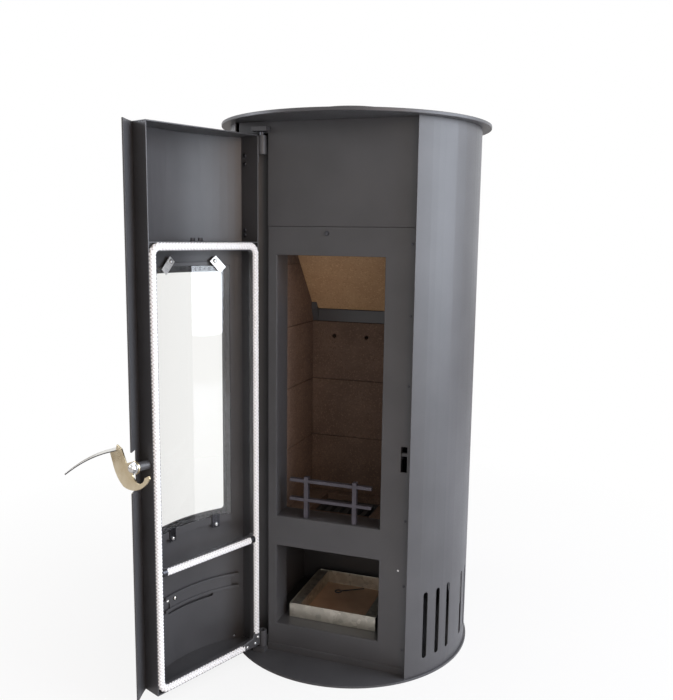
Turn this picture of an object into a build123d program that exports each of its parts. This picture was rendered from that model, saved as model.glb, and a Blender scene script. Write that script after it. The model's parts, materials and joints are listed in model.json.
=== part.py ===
from build123d import *
import os
from math import asin, atan2, cos, degrees, hypot, radians, sin, sqrt

# Round steel wood stove, door swung open. Millimetres and degrees.
# +Z is up, the front is -Y, and the origin is on the casing's axis at floor level.
# Turns are degrees about a frame's axis, from the front (-Y) towards +X.
# The door's pieces are drawn in the closed door's own places and stand swung open about the hinge.

os.makedirs("parts", exist_ok=True)

# Driving sizes of the whole stove
stove_height = 1000.0
casing_radius = 236.0
casing_wall = 2.0
casing_right_turn = 43.5
casing_left_turn = 48.3
top_plate_overhang = 17.0
top_plate_thickness = 6.0
base_overhang = 4.0
base_thickness = 4.0
running_gap = 0.3
overrun = 5.0
half_turn = 180.0
full_turn = 360.0

# Places across and in depth, as shares of the casing's radius
panel_depth_share = 0.669492
panel_left_share = -0.474576
header_left_share = -0.711864
sill_right_share = 0.677966
opening_share = 0.855932
side_brick_share = 0.577966
flue_share = 0.322034
hinge_share = -0.512712
skin_share = 0.665254
door_share = 0.497881
window_share = 0.319915
slider_left_share = -0.364407
slider_right_share = 0.211864
wall_screw_share = 0.830508
partition_bolt_share = 0.805085

# Front panels and their two openings
panel_depth = casing_radius * panel_depth_share
panel_thickness = 4.0
panel_left = casing_radius * panel_left_share
centre_x = 6.0
opening_width = casing_radius * opening_share
ash_opening_bottom = 60.0
ash_opening_top = 217.0
fire_opening_bottom = 275.0
panel_drop = 187.0
panel_seam = stove_height - panel_drop
header_left = casing_radius * header_left_share
sill_height = 14.0
sill_thickness = 2.0
sill_right = casing_radius * sill_right_share
rivet_radius = 2.5
rivet_height = 1.2
rivet_inset = 5.5
rivet_count = 7
rivet_bottom = 52.5
rivet_drop = 28.0
rivet_top = panel_seam - rivet_drop
bolt_radius = 5.0
bolt_height = 3.0
bolt_drop = 12.0
bolt_level = panel_seam - bolt_drop

# Firebox body of welded plate
plate = 3.0
neck_length = 44.0
body_drop = 20.0
body_top = panel_seam - body_drop
opening_drop = 31.0
fire_opening_top = body_top - opening_drop
shelf_top = 245.0
support_width = 30.0
support_place = 95.0
support_margin = 8.0

# Firebricks, grate and baffle
brick_thickness = 25.0
brick_headroom = 18.0
brick_gap = 0.3
brick_chamfer = 1.2
side_brick_depth = casing_radius * side_brick_share
side_courses = 4
back_courses = 3
air_hole_radius = 4.0
air_hole_pitch = 68.0
air_hole_shift = 12.0
air_hole_drop = 30.0
air_hole_count = 3
grate_side = 41.0
grate_end = 18.2
grate_width = opening_width - 2 * grate_side
grate_length = side_brick_depth - 2 * grate_end
grate_thickness = 14.0
grate_ledge = 6.0
grate_slot = 8.0
grate_rim = 10.0
grate_slots = 6
ledge_height = 24.2
baffle_thickness = 20.0
baffle_clearance = 2.9
baffle_throat = 33.4
baffle_bar_radius = 4.0
baffle_bar_inset = 6.0
bracket_foot_width = 11.0
bracket_foot_height = 22.0
bracket_foot_depth = 12.0

# Flue, air inlet and rear shield
flue_bore = casing_radius * flue_share
flue_wall = 3.0
flue_shift = 3.85
collar_rise = 25.0
collar_depth = 40.0
collar_flange = 17.0
flange_thickness = 4.0
inlet_radius = 50.0
inlet_wall = 1.5
inlet_height = 120.0
inlet_stand = 26.0
inlet_flange = 12.0
air_box_inset = 28.3
air_box_depth = 30.0
air_box_wall = 2.0
air_box_bottom = 60.0
air_box_drop = 113.0
air_box_top = body_top - air_box_drop
shield_gap = 9.0
shield_inset = 1.3
shield_thickness = 1.5
shield_bottom = 30.0
shield_drop = 40.0
shield_top = stove_height - shield_drop
standoff_radius = 5.0
standoff_inset = 14.3
lower_standoff = 200.0
standoff_drop = 40.0
standoff_levels = (lower_standoff, air_box_top - standoff_drop)

# Vent slots low in the casing
vent_width = 10.0
vent_length = 127.0
vent_bottom = 34.0
vent_first_turn = 54.0
vent_step = 7.7
vent_group_step = 30.0
vents_per_group = 3
vent_groups = 3

# Ash pan and log guard
pan_setback = 33.0
pan_front = panel_depth - pan_setback
pan_rear_gap = 12.3
pan_height = 27.0
pan_side = 14.0
pan_front_width = opening_width - 2 * pan_side
pan_ledge = 19.5
pan_tray_width = pan_front_width - 2 * pan_ledge
pan_sheet = 1.5
guard_side = 21.5
guard_width = opening_width - 2 * guard_side
guard_height = 79.0
guard_shift = 3.0
guard_post_inset = 32.5
guard_post_spread = guard_width - 2 * guard_post_inset
guard_post_width = 8.0
guard_depth = 10.0
guard_bar = 6.0
lower_bar_level = 35.0
upper_bar_level = 71.0
guard_bar_levels = (lower_bar_level, upper_bar_level)
guard_setback = 5.0
peg_radius = 2.5
peg_height = 10.0

# Door and its hinge
door_open = 112.0
hinge_stand = 6.0
hinge_x = casing_radius * hinge_share
hinge_y = -panel_depth - hinge_stand
skin_thickness = 3.0
skin_half_width = casing_radius * skin_share
door_bottom = 18.0
door_drop = 30.0
door_top = stove_height - door_drop
header_clearance = 4.0
header_bottom = door_top + header_clearance
door_sheet = 2.0
door_half_width = casing_radius * door_share
rim_stand = 5.0
door_rim = panel_depth + rim_stand
partition_drop = 30.0
partition_level = panel_seam - partition_drop
rope_diameter = 11.0
rope_corner = 14.0
rope_play = 0.1
cross_rope_level = 233.6
pin_radius = 4.0
pin_play = 0.05
pin_length = 30.0
knuckle_radius = 8.0
knuckle_length = 32.0
hinge_plate = 8.0
hinge_plate_reach = 14.0
upper_plate_gap = 6.0
upper_plate_level = door_top + upper_plate_gap
leaf_thickness = 3.0
leaf_clearance = 1.9
leaf_height = 45.0
screw_radius = 4.0
screw_head = 2.3
wall_screw_place = casing_radius * wall_screw_share
upper_screw_drop = 34.0
second_screw_drop = 49.0
lower_screw_drop = 165.0
wall_screw_drops = (upper_screw_drop, second_screw_drop, lower_screw_drop)
partition_bolt_spread = 8.0
partition_bolt_place = casing_radius * partition_bolt_share
partition_bolt_height = 6.0
drain_inset = 18.5
drain_level = 25.0
drain_radius = 2.0

# Window
window_half_width = casing_radius * window_share
window_bottom = 287.0
window_drop = 52.0
window_top = partition_level - window_drop
window_corner = 6.0
glass_thickness = 4.0
glass_lap = 11.0
tape_thickness = 2.0
tape_width = 8.0
clip_inset = 23.5
clip_place = window_half_width - clip_inset
clip_width = 16.0
clip_lap = 11.0
clip_thickness = 1.8
clip_foot = 15.0
retainer_height = 14.0
wash_bar_height = 6.0

# Air slider in the lower door
slot_height = 8.0
slot_inset = 16.0
slot_level = 121.0
slider_bottom = 128.0
slider_height = 24.0
slider_left = casing_radius * slider_left_share
slider_right = casing_radius * slider_right_share
slot_half_width = (slider_right - slider_left) / 2 - slot_inset
slider_thickness = 3.0
knob_inset = 11.4
knob_place = slider_right - knob_inset
knob_level = 145.0
knob_stem = 2.4
knob_radius = 8.0
knob_length = 14.0
knob_slot_height = 10.0
knob_nut_radius = 4.0
knob_nut_height = 4.0
knob_travel = 13.7
slider_hole = 5.0
slider_hole_inset = 11.0
slider_hole_first = slider_left + slider_hole_inset
slider_hole_clear = 38.6
slider_hole_count = 4
slider_hole_pitch = (knob_place - slider_hole_first - slider_hole_clear) / (slider_hole_count - 1)
slider_hole_level = 140.0
rail_web = 2.5
rail_lip = 2.0
rail_cover = 3.0
rail_margin = 14.0

# Latch: a hook plate on a pivot stud, with its handle, and the striker
hook_stand = 25.0
hook_place = centre_x + door_half_width + hook_stand
hook_thickness = 3.0
hook_reach = 39.2
hook_boss = 11.0
pivot_stand = 17.0
pivot_depth = panel_depth + pivot_stand
pivot_level = 424.0
stud_radius = 5.0
spacer_radius = 7.5
washer_radius = 10.0
washer_thickness = 1.5
nut_radius = 8.0
nut_thickness = 5.0
striker_radius = 4.0
striker_seat_share = 0.11
cheek_length = 12.0
cheek_height = 20.0
notch_width = 11.0
notch_bottom = 386.0
notch_top = 432.0
skin_notch_depth = 19.0
skin_notch_bottom = 382.0
skin_notch_top = 450.0
handle_root_stand = 68.0
handle_root_depth = pivot_depth + handle_root_stand
handle_root_level = 440.7
handle_width = 22.0
handle_thickness = 2.5
handle_length = 77.0
handle_drop = 41.0
handle_bow = 5.0
handle_turn = 41.7
handle_tab = 10.0
handle_tab_rise = 2.6

# The hook's outline from its pivot, as shares of its reach: towards the stove, and up
hook_back_shares = [(-1.80, 0.30), (-1.56, -0.24), (-1.32, -0.63), (-0.85, -1.0), (0.10, -0.95)]
hook_tip_shares = [(1.0, -0.26), (0.92, -0.16)]
hook_throat_shares = [(0.66, -0.30), (0.12, -0.62), (-0.20, -0.36)]
hook_boss_shares = [(0.05, -0.10), (-0.08, 0.26)]
hook_top_shares = [(-0.64, 0.05), (-0.95, 0.62), (-1.28, 0.74), (-1.36, 0.47), (-1.80, 0.385)]

# Levels and places worked out from the sizes
casing_inner = casing_radius - casing_wall
top_plate_radius = casing_radius + top_plate_overhang
base_radius = casing_radius + base_overhang
rivet_place = hook_place + rivet_inset
inlet_reach = casing_radius + inlet_stand
top_plate_under = stove_height - top_plate_thickness
panel_back = panel_depth - panel_thickness
opening_half = opening_width / 2
opening_left = centre_x - opening_half
opening_right = centre_x + opening_half
neck_back = panel_back - neck_length
body_front = neck_back - plate
body_half = opening_half + brick_thickness + brick_gap
body_left = centre_x - body_half
body_right = centre_x + body_half
body_back = side_brick_depth + brick_thickness + 3 * brick_gap - body_front
floor_top = ash_opening_bottom
pan_length = pan_front + body_back - pan_rear_gap
air_box_width = 2 * (body_half - air_box_inset)
shield_width = 2 * (body_half - shield_inset)
standoff_place = body_half - standoff_inset
brick_floor = shelf_top + brick_thickness
brick_course = (fire_opening_top - brick_headroom - brick_floor) / side_courses
back_brick_front = side_brick_depth + 2 * brick_gap - body_front
ledge_bottom = brick_floor + back_courses * brick_course + brick_gap
ledge_top = ledge_bottom + ledge_height
baffle_reach = back_brick_front + body_front - baffle_throat
baffle_space = body_top - plate - ledge_top
baffle_rise = baffle_space - baffle_thickness * cos(atan2(baffle_space, baffle_reach)) - baffle_clearance
baffle_slope = degrees(atan2(baffle_rise, baffle_reach))
baffle_length = hypot(baffle_rise, baffle_reach)
collar_bottom = stove_height - collar_depth
collar_radius = flue_bore + flue_wall
flue_inner = flue_bore - flue_wall
flue_back = (neck_back - body_back - plate) / 2 - flue_shift
air_box_back = body_back + plate + air_box_depth
shield_front = air_box_back + shield_gap

skin_inner = casing_radius - skin_thickness
skin_turn = degrees(asin(skin_half_width / casing_radius))
wall_left = centre_x - door_half_width
wall_right = centre_x + door_half_width
leaf_width = sqrt(skin_inner**2 - (wall_left - leaf_thickness)**2) + hinge_y - leaf_clearance
drain_place = wall_left + drain_inset
box_left = wall_left + door_sheet
box_right = wall_right - door_sheet
rope_radius = rope_diameter / 2
rope_depth = panel_depth + running_gap + rope_radius
channel_front = rope_depth + rope_radius + rope_play
rope_left = box_left + rope_radius + rope_play
rope_right = box_right - rope_radius - rope_play
rope_bottom = door_bottom + door_sheet + rope_radius + rope_play
rope_top = partition_level - rope_radius - rope_play
lip_offset = rope_radius + rope_play
glass_outer = skin_inner - tape_thickness
glass_inner = glass_outer - glass_thickness
glass_half = window_half_width + glass_lap
glass_bottom = window_bottom - glass_lap
glass_top = window_top + glass_lap
slider_outer = skin_inner - running_gap
slider_inner = slider_outer - slider_thickness
rail_inner = slider_inner - running_gap
slider_top = slider_bottom + slider_height
striker_cheek = notch_width / 2 + plate


def turned(radius, turn):
    """The place at a radius and a turn about a plan's origin."""
    return (radius * sin(radians(turn)), -radius * cos(radians(turn)))


def turn_at(across, radius):
    """The turn at which a circle of this radius reaches a place across."""
    return degrees(asin(across / radius))


def band(inner, outer, start, end):
    """A curved strip between two radii and two turns."""
    middle = (start + end) / 2
    with BuildSketch() as strip:
        with BuildLine():
            far = ThreePointArc(turned(outer, start), turned(outer, middle), turned(outer, end))
            near = ThreePointArc(turned(inner, start), turned(inner, middle), turned(inner, end))
            Line(far @ 0, near @ 0)
            Line(far @ 1, near @ 1)
        make_face()
    return strip.sketch


def block(low_x, high_x, low_y, high_y):
    """A rectangle between two places across and two places up or along."""
    with BuildSketch() as area:
        with Locations(((low_x + high_x) / 2, (low_y + high_y) / 2)):
            Rectangle(high_x - low_x, high_y - low_y)
    return area.sketch


def facing(plan, turn, level):
    """A plane through a plan's axis at a level, which faces outward at a turn."""
    across = plan.x_dir * cos(radians(turn)) + plan.y_dir * sin(radians(turn))
    outward = plan.x_dir * sin(radians(turn)) - plan.y_dir * cos(radians(turn))
    return Plane(plan.origin + plan.z_dir * level, x_dir=across, z_dir=outward)


def hook_places(shares):
    """Places of the hook's outline, inward and up, in the closed door's side view."""
    return [(-pivot_depth + a * hook_reach, pivot_level + b * hook_reach) for a, b in shares]


# Frames: the stove's, and the swung door's through its skin's axis
stove_plan = Plane.XY
stove_face = Plane.XZ
stove_side = Plane.YZ
door_across = Vector(cos(radians(door_open)), -sin(radians(door_open)), 0)
hinge_plan = Plane(origin=(hinge_x, hinge_y, 0), x_dir=door_across, z_dir=(0, 0, 1))
door_axis = hinge_plan.from_local_coords(Vector(-hinge_x, -hinge_y, 0))
door_plan = Plane(origin=door_axis, x_dir=door_across, z_dir=(0, 0, 1))
door_face = Plane(origin=door_axis, x_dir=door_across, z_dir=-door_plan.y_dir)
door_side = Plane(origin=door_axis, x_dir=door_plan.y_dir, z_dir=door_across)

fire_opening = block(opening_left, opening_right, fire_opening_bottom, fire_opening_top)
ash_opening = block(opening_left, opening_right, ash_opening_bottom, ash_opening_top)

# Base, casing and top plate
with BuildPart() as base_plate:
    with BuildSketch(stove_plan):
        Circle(base_radius)
    extrude(amount=base_thickness)
base_plate.part.label = "base_plate"
export_step(base_plate.part, "parts/base_plate.step")

vent_turns = []
for group in range(vent_groups):
    for vent in range(vents_per_group):
        vent_turn = vent_first_turn + group * vent_group_step + vent * vent_step
        vent_turns += [vent_turn, -vent_turn]
vent_level = vent_bottom + vent_length / 2

with BuildPart() as outer_casing:
    with BuildSketch(stove_plan.offset(base_thickness)):
        add(band(casing_inner, casing_radius, casing_right_turn, full_turn - casing_left_turn))
    extrude(amount=top_plate_under - base_thickness)
    with BuildSketch(*[facing(stove_plan, turn, vent_level) for turn in vent_turns]):
        SlotOverall(vent_length, vent_width, rotation=90)
    extrude(amount=casing_radius + overrun, mode=Mode.SUBTRACT)
    with BuildSketch(facing(stove_plan, half_turn, inlet_height)):
        Circle(inlet_radius + running_gap)
    extrude(amount=casing_radius + overrun, mode=Mode.SUBTRACT)
outer_casing.part.label = "outer_casing"
export_step(outer_casing.part, "parts/outer_casing.step")

with BuildPart() as top_plate:
    with BuildSketch(stove_plan.offset(top_plate_under)):
        Circle(top_plate_radius)
        with Locations((0, -flue_back)):
            Circle(collar_radius + running_gap, mode=Mode.SUBTRACT)
    extrude(amount=top_plate_thickness)
top_plate.part.label = "top_plate"
export_step(top_plate.part, "parts/top_plate.step")

# Front panels, sill, rivets and the latch's striker
panel_right = sqrt(casing_inner**2 - panel_depth**2) - running_gap

with BuildPart() as front_panel:
    with BuildSketch(stove_face.offset(panel_back)):
        add(block(panel_left, panel_right, base_thickness, panel_seam - running_gap))
        add(fire_opening, mode=Mode.SUBTRACT)
        add(ash_opening, mode=Mode.SUBTRACT)
        add(block(hook_place - notch_width / 2, hook_place + notch_width / 2, notch_bottom, notch_top),
            mode=Mode.SUBTRACT)
    extrude(amount=panel_thickness)
front_panel.part.label = "front_panel"
export_step(front_panel.part, "parts/front_panel.step")

with BuildPart() as upper_front_panel:
    with BuildSketch(stove_face.offset(panel_back)):
        add(block(panel_left, panel_right, panel_seam, top_plate_under))
        add(block(header_left, panel_left, header_bottom, top_plate_under))
    extrude(amount=panel_thickness)
upper_front_panel.part.label = "upper_front_panel"
export_step(upper_front_panel.part, "parts/upper_front_panel.step")

with BuildPart() as sill_strip:
    with BuildSketch(stove_face.offset(panel_depth)):
        add(block(panel_left, sill_right, base_thickness, base_thickness + sill_height))
    extrude(amount=sill_thickness)
sill_strip.part.label = "sill_strip"
export_step(sill_strip.part, "parts/sill_strip.step")

with BuildPart() as panel_rivets:
    rivet_pitch = (rivet_top - rivet_bottom) / (rivet_count - 1)
    with BuildSketch(stove_face.offset(panel_depth)):
        with Locations(*[(rivet_place, rivet_bottom + i * rivet_pitch) for i in range(rivet_count)]):
            Circle(rivet_radius)
    extrude(amount=rivet_height)
    with BuildSketch(stove_face.offset(panel_depth)):
        with Locations((0, bolt_level)):
            RegularPolygon(bolt_radius, 6)
    extrude(amount=bolt_height)
panel_rivets.part.label = "panel_rivets"
export_step(panel_rivets.part, "parts/panel_rivets.step")

throat_place = Vector(*hook_places(hook_throat_shares)[0])
tip_place = Vector(*hook_places(hook_tip_shares)[1])
tip_dir = (tip_place - throat_place).normalized()
striker_seat = throat_place + (tip_place - throat_place) * striker_seat_share
striker_centre = striker_seat + Vector(-tip_dir.Y, tip_dir.X) * (striker_radius + running_gap)

with BuildPart() as striker:
    with BuildSketch(stove_side.offset(hook_place - striker_cheek),
                     stove_side.offset(hook_place + notch_width / 2)):
        add(block(-panel_back, cheek_length - panel_back,
                  striker_centre.Y - cheek_height / 2, striker_centre.Y + cheek_height / 2))
    extrude(amount=plate)
    with BuildSketch(stove_side.offset(hook_place - notch_width / 2)):
        with Locations((striker_centre.X, striker_centre.Y)):
            Circle(striker_radius)
    extrude(amount=notch_width)
striker.part.label = "striker"
export_step(striker.part, "parts/striker.step")

# Necks that join the panel's openings to the firebox body
with BuildPart() as firebox_neck:
    with BuildSketch(stove_face.offset(neck_back)):
        add(block(opening_left - plate, opening_right + plate,
                  fire_opening_bottom - plate, fire_opening_top + plate))
        add(fire_opening, mode=Mode.SUBTRACT)
    extrude(amount=neck_length)
firebox_neck.part.label = "firebox_neck"
export_step(firebox_neck.part, "parts/firebox_neck.step")

with BuildPart() as ash_neck:
    with BuildSketch(stove_face.offset(neck_back)):
        add(block(opening_left - plate, opening_right + plate,
                  ash_opening_bottom - plate, ash_opening_top + plate))
        add(ash_opening, mode=Mode.SUBTRACT)
    extrude(amount=neck_length)
ash_neck.part.label = "ash_neck"
export_step(ash_neck.part, "parts/ash_neck.step")

# Firebox body
with BuildPart() as body_front_wall:
    with BuildSketch(stove_face.offset(body_front)):
        add(block(body_left - plate, body_right + plate, floor_top, body_top - plate))
        add(fire_opening, mode=Mode.SUBTRACT)
        add(ash_opening, mode=Mode.SUBTRACT)
    extrude(amount=plate)
body_front_wall.part.label = "body_front_wall"
export_step(body_front_wall.part, "parts/body_front_wall.step")

with BuildPart() as body_side_left:
    with BuildSketch(stove_plan.offset(floor_top)):
        add(block(body_left - plate, body_left, -body_front, body_back))
    extrude(amount=body_top - plate - floor_top)
body_side_left.part.label = "body_side_left"
export_step(body_side_left.part, "parts/body_side_left.step")

with BuildPart() as body_side_right:
    with BuildSketch(stove_plan.offset(floor_top)):
        add(block(body_right, body_right + plate, -body_front, body_back))
    extrude(amount=body_top - plate - floor_top)
body_side_right.part.label = "body_side_right"
export_step(body_side_right.part, "parts/body_side_right.step")

with BuildPart() as body_back_plate:
    with BuildSketch(stove_plan.offset(floor_top)):
        add(block(body_left - plate, body_right + plate, body_back, body_back + plate))
    extrude(amount=body_top - plate - floor_top)
body_back_plate.part.label = "body_back_plate"
export_step(body_back_plate.part, "parts/body_back_plate.step")

with BuildPart() as body_top_plate:
    with BuildSketch(stove_plan.offset(body_top - plate)):
        add(block(body_left - plate, body_right + plate, -neck_back, body_back + plate))
        with Locations((0, -flue_back)):
            Circle(flue_inner, mode=Mode.SUBTRACT)
    extrude(amount=plate)
body_top_plate.part.label = "body_top_plate"
export_step(body_top_plate.part, "parts/body_top_plate.step")

with BuildPart() as body_floor_plate:
    with BuildSketch(stove_plan.offset(floor_top - plate)):
        add(block(body_left - plate, body_right + plate, -neck_back, body_back + plate))
    extrude(amount=plate)
body_floor_plate.part.label = "body_floor_plate"
export_step(body_floor_plate.part, "parts/body_floor_plate.step")

# Two square tubes carry the body on the base
with BuildPart() as body_supports:
    for support in (centre_x - support_place, centre_x + support_place):
        with BuildSketch(stove_face.offset(neck_back - support_margin)):
            add(block(support - support_width / 2, support + support_width / 2,
                      base_thickness, floor_top - plate))
            add(block(support - support_width / 2 + plate, support + support_width / 2 - plate,
                      base_thickness + plate, floor_top - 2 * plate), mode=Mode.SUBTRACT)
        extrude(amount=-(neck_back + body_back - 2 * support_margin))
body_supports.part.label = "body_supports"
export_step(body_supports.part, "parts/body_supports.step")

# Grate, its shelf and the firebricks
grate_middle = (back_brick_front - brick_gap - body_front) / 2
grate_left = centre_x - grate_width / 2
grate_right = centre_x + grate_width / 2
grate_front = grate_middle - grate_length / 2
grate_back = grate_middle + grate_length / 2

with BuildPart() as grate_shelf:
    with BuildSketch(stove_plan.offset(shelf_top - plate)):
        add(block(body_left, body_right, -body_front, body_back))
        add(block(grate_left + grate_ledge, grate_right - grate_ledge,
                  grate_front + grate_ledge, grate_back - grate_ledge), mode=Mode.SUBTRACT)
    extrude(amount=plate)
grate_shelf.part.label = "grate_shelf"
export_step(grate_shelf.part, "parts/grate_shelf.step")

slot_pitch = (grate_width - 2 * grate_rim - grate_slot) / (grate_slots - 1)
with BuildPart() as grate:
    with BuildSketch(stove_plan.offset(shelf_top)):
        add(block(grate_left, grate_right, grate_front, grate_back))
        with Locations((centre_x, grate_middle)):
            with GridLocations(slot_pitch, 0, grate_slots, 1):
                SlotOverall(grate_length - 2 * grate_rim, grate_slot, rotation=90, mode=Mode.SUBTRACT)
    extrude(amount=grate_thickness)
grate.part.label = "grate"
export_step(grate.part, "parts/grate.step")

brick_left = body_left + brick_gap
brick_right = body_right - brick_gap
brick_front = brick_gap - body_front
brick_back = body_back - brick_gap
hearth_left = grate_left - brick_gap
hearth_right = grate_right + brick_gap

with BuildPart() as floor_bricks:
    with BuildSketch(stove_plan.offset(shelf_top)):
        add(block(brick_left, hearth_left, brick_front, brick_back))
        add(block(hearth_right, brick_right, brick_front, brick_back))
        add(block(grate_left, grate_right, brick_front, grate_front - brick_gap))
        add(block(grate_left, grate_right, grate_back + brick_gap, brick_back))
    extrude(amount=brick_thickness)
    chamfer(floor_bricks.faces().sort_by(Axis.Z)[-4:].edges(), brick_chamfer / 2)
floor_bricks.part.label = "floor_bricks"
export_step(floor_bricks.part, "parts/floor_bricks.step")

with BuildPart() as side_bricks_left:
    for course in range(side_courses):
        with BuildSketch(stove_plan.offset(brick_floor + course * brick_course)):
            add(block(brick_left, opening_left, brick_front, back_brick_front - brick_gap))
        extrude(amount=brick_course - brick_gap)
    chamfer(side_bricks_left.faces().sort_by(Axis.X)[-side_courses:].edges(), brick_chamfer)
side_bricks_left.part.label = "side_bricks_left"
export_step(side_bricks_left.part, "parts/side_bricks_left.step")

with BuildPart() as side_bricks_right:
    for course in range(side_courses):
        with BuildSketch(stove_plan.offset(brick_floor + course * brick_course)):
            add(block(opening_right, brick_right, brick_front, back_brick_front - brick_gap))
        extrude(amount=brick_course - brick_gap)
    chamfer(side_bricks_right.faces().sort_by(Axis.X)[:side_courses].edges(), brick_chamfer)
side_bricks_right.part.label = "side_bricks_right"
export_step(side_bricks_right.part, "parts/side_bricks_right.step")

with BuildPart() as back_bricks:
    for course in range(back_courses):
        with BuildSketch(stove_plan.offset(brick_floor + course * brick_course)):
            add(block(brick_left, brick_right, back_brick_front, brick_back))
        extrude(amount=brick_course - brick_gap)
    chamfer(back_bricks.faces().sort_by(Axis.Y)[:back_courses].edges(), brick_chamfer)
    with BuildSketch(stove_face.offset(-brick_back)):
        with Locations((centre_x + air_hole_shift, ledge_bottom - air_hole_drop)):
            with GridLocations(air_hole_pitch, 0, air_hole_count, 1):
                Circle(air_hole_radius)
    extrude(amount=brick_thickness + overrun, mode=Mode.SUBTRACT)
back_bricks.part.label = "back_bricks"
export_step(back_bricks.part, "parts/back_bricks.step")

# Steel ledge over the back bricks, with the two feet that hold the baffle
bracket_foot_rise = bracket_foot_depth * baffle_rise / baffle_reach

with BuildPart() as rear_ledge:
    with BuildSketch(stove_side.offset(brick_left)):
        add(block(back_brick_front, brick_back, ledge_bottom, ledge_top))
        add(block(back_brick_front + plate, brick_back, ledge_bottom, ledge_top - plate),
            mode=Mode.SUBTRACT)
    extrude(amount=brick_right - brick_left)
    for foot in (opening_left, opening_right - bracket_foot_width):
        with BuildSketch(stove_side.offset(foot)):
            with BuildLine():
                Polyline(
                    (back_brick_front, ledge_top - bracket_foot_height),
                    (back_brick_front, ledge_top),
                    (back_brick_front - bracket_foot_depth, ledge_top + bracket_foot_rise),
                    (back_brick_front - bracket_foot_depth, ledge_top),
                    close=True)
            make_face()
        extrude(amount=bracket_foot_width)
rear_ledge.part.label = "rear_ledge"
export_step(rear_ledge.part, "parts/rear_ledge.step")

# The sloping baffle stands on the ledge and leans on a bar
baffle_up = Vector(-cos(radians(baffle_slope)), sin(radians(baffle_slope)))
baffle_out = Vector(sin(radians(baffle_slope)), cos(radians(baffle_slope)))
baffle_foot = Vector(back_brick_front, ledge_top) + baffle_out * running_gap
baffle_head = baffle_foot + baffle_up * baffle_length
bar_centre = baffle_head - baffle_up * baffle_bar_inset - baffle_out * (baffle_bar_radius + running_gap)

with BuildPart() as baffle_plate:
    with BuildSketch(stove_side.offset(opening_left + brick_gap)):
        with BuildLine():
            Polyline(baffle_foot, baffle_head, baffle_head + baffle_out * baffle_thickness,
                     baffle_foot + baffle_out * baffle_thickness, close=True)
        make_face()
    extrude(amount=opening_width - 2 * brick_gap)
    chamfer(baffle_plate.edges().filter_by(Axis.X), brick_chamfer)
baffle_plate.part.label = "baffle_plate"
export_step(baffle_plate.part, "parts/baffle_plate.step")

with BuildPart() as baffle_bar:
    with BuildSketch(stove_side.offset(body_left)):
        with Locations((bar_centre.X, bar_centre.Y)):
            Circle(baffle_bar_radius)
    extrude(amount=body_right - body_left)
baffle_bar.part.label = "baffle_bar"
export_step(baffle_bar.part, "parts/baffle_bar.step")

# Secondary air box, heat shield and air inlet behind the body
with BuildPart() as air_box:
    with BuildSketch(stove_face.offset(-air_box_back)):
        add(block(centre_x - air_box_width / 2, centre_x + air_box_width / 2, air_box_bottom, air_box_top))
    extrude(amount=air_box_depth)
    with BuildSketch(stove_face.offset(air_box_wall - air_box_back)):
        add(block(centre_x - air_box_width / 2 + air_box_wall, centre_x + air_box_width / 2 - air_box_wall,
                  air_box_bottom + air_box_wall, air_box_top - air_box_wall))
    extrude(amount=air_box_depth, mode=Mode.SUBTRACT)
    with BuildSketch(stove_face.offset(-air_box_back)):
        with Locations((0, inlet_height)):
            Circle(inlet_radius - inlet_wall)
    extrude(amount=air_box_wall, mode=Mode.SUBTRACT)
air_box.part.label = "air_box"
export_step(air_box.part, "parts/air_box.step")

with BuildPart() as heat_shield:
    with BuildSketch(stove_face.offset(-shield_front)):
        add(block(centre_x - shield_width / 2, centre_x + shield_width / 2, shield_bottom, shield_top))
        with Locations((0, inlet_height)):
            Circle(inlet_radius + running_gap, mode=Mode.SUBTRACT)
    extrude(amount=-shield_thickness)
heat_shield.part.label = "heat_shield"
export_step(heat_shield.part, "parts/heat_shield.step")

with BuildPart() as shield_standoffs:
    with BuildSketch(stove_face.offset(-shield_front)):
        with Locations(*[(centre_x + side * standoff_place, level)
                         for side in (-1, 1) for level in standoff_levels]):
            Circle(standoff_radius)
    extrude(amount=shield_front - body_back - plate)
shield_standoffs.part.label = "shield_standoffs"
export_step(shield_standoffs.part, "parts/shield_standoffs.step")

with BuildPart() as air_inlet_spigot:
    with BuildSketch(stove_face.offset(-air_box_back)):
        with Locations((0, inlet_height)):
            Circle(inlet_radius)
            Circle(inlet_radius - inlet_wall, mode=Mode.SUBTRACT)
    extrude(amount=air_box_back - inlet_reach)
    with BuildSketch(stove_face.offset(-casing_radius - running_gap)):
        with Locations((0, inlet_height)):
            Circle(inlet_radius + inlet_flange)
            Circle(inlet_radius - inlet_wall, mode=Mode.SUBTRACT)
    extrude(amount=-casing_wall)
air_inlet_spigot.part.label = "air_inlet_spigot"
export_step(air_inlet_spigot.part, "parts/air_inlet_spigot.step")

# Flue duct from the body to the collar in the top plate
with BuildPart() as flue_duct:
    with BuildSketch(stove_plan.offset(body_top)):
        with Locations((0, -flue_back)):
            Circle(flue_bore)
            Circle(flue_inner, mode=Mode.SUBTRACT)
    extrude(amount=collar_bottom - body_top)
flue_duct.part.label = "flue_duct"
export_step(flue_duct.part, "parts/flue_duct.step")

with BuildPart() as flue_collar:
    with BuildSketch(stove_plan.offset(collar_bottom)):
        with Locations((0, -flue_back)):
            Circle(collar_radius)
            Circle(flue_bore, mode=Mode.SUBTRACT)
    extrude(amount=collar_depth + collar_rise)
    with BuildSketch(stove_plan.offset(collar_bottom)):
        with Locations((0, -flue_back)):
            Circle(collar_radius)
            Circle(flue_inner, mode=Mode.SUBTRACT)
    extrude(amount=flue_wall)
    with BuildSketch(stove_plan.offset(stove_height)):
        with Locations((0, -flue_back)):
            Circle(collar_radius + collar_flange)
            Circle(flue_bore, mode=Mode.SUBTRACT)
    extrude(amount=flange_thickness)
flue_collar.part.label = "flue_collar"
export_step(flue_collar.part, "parts/flue_collar.step")

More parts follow.
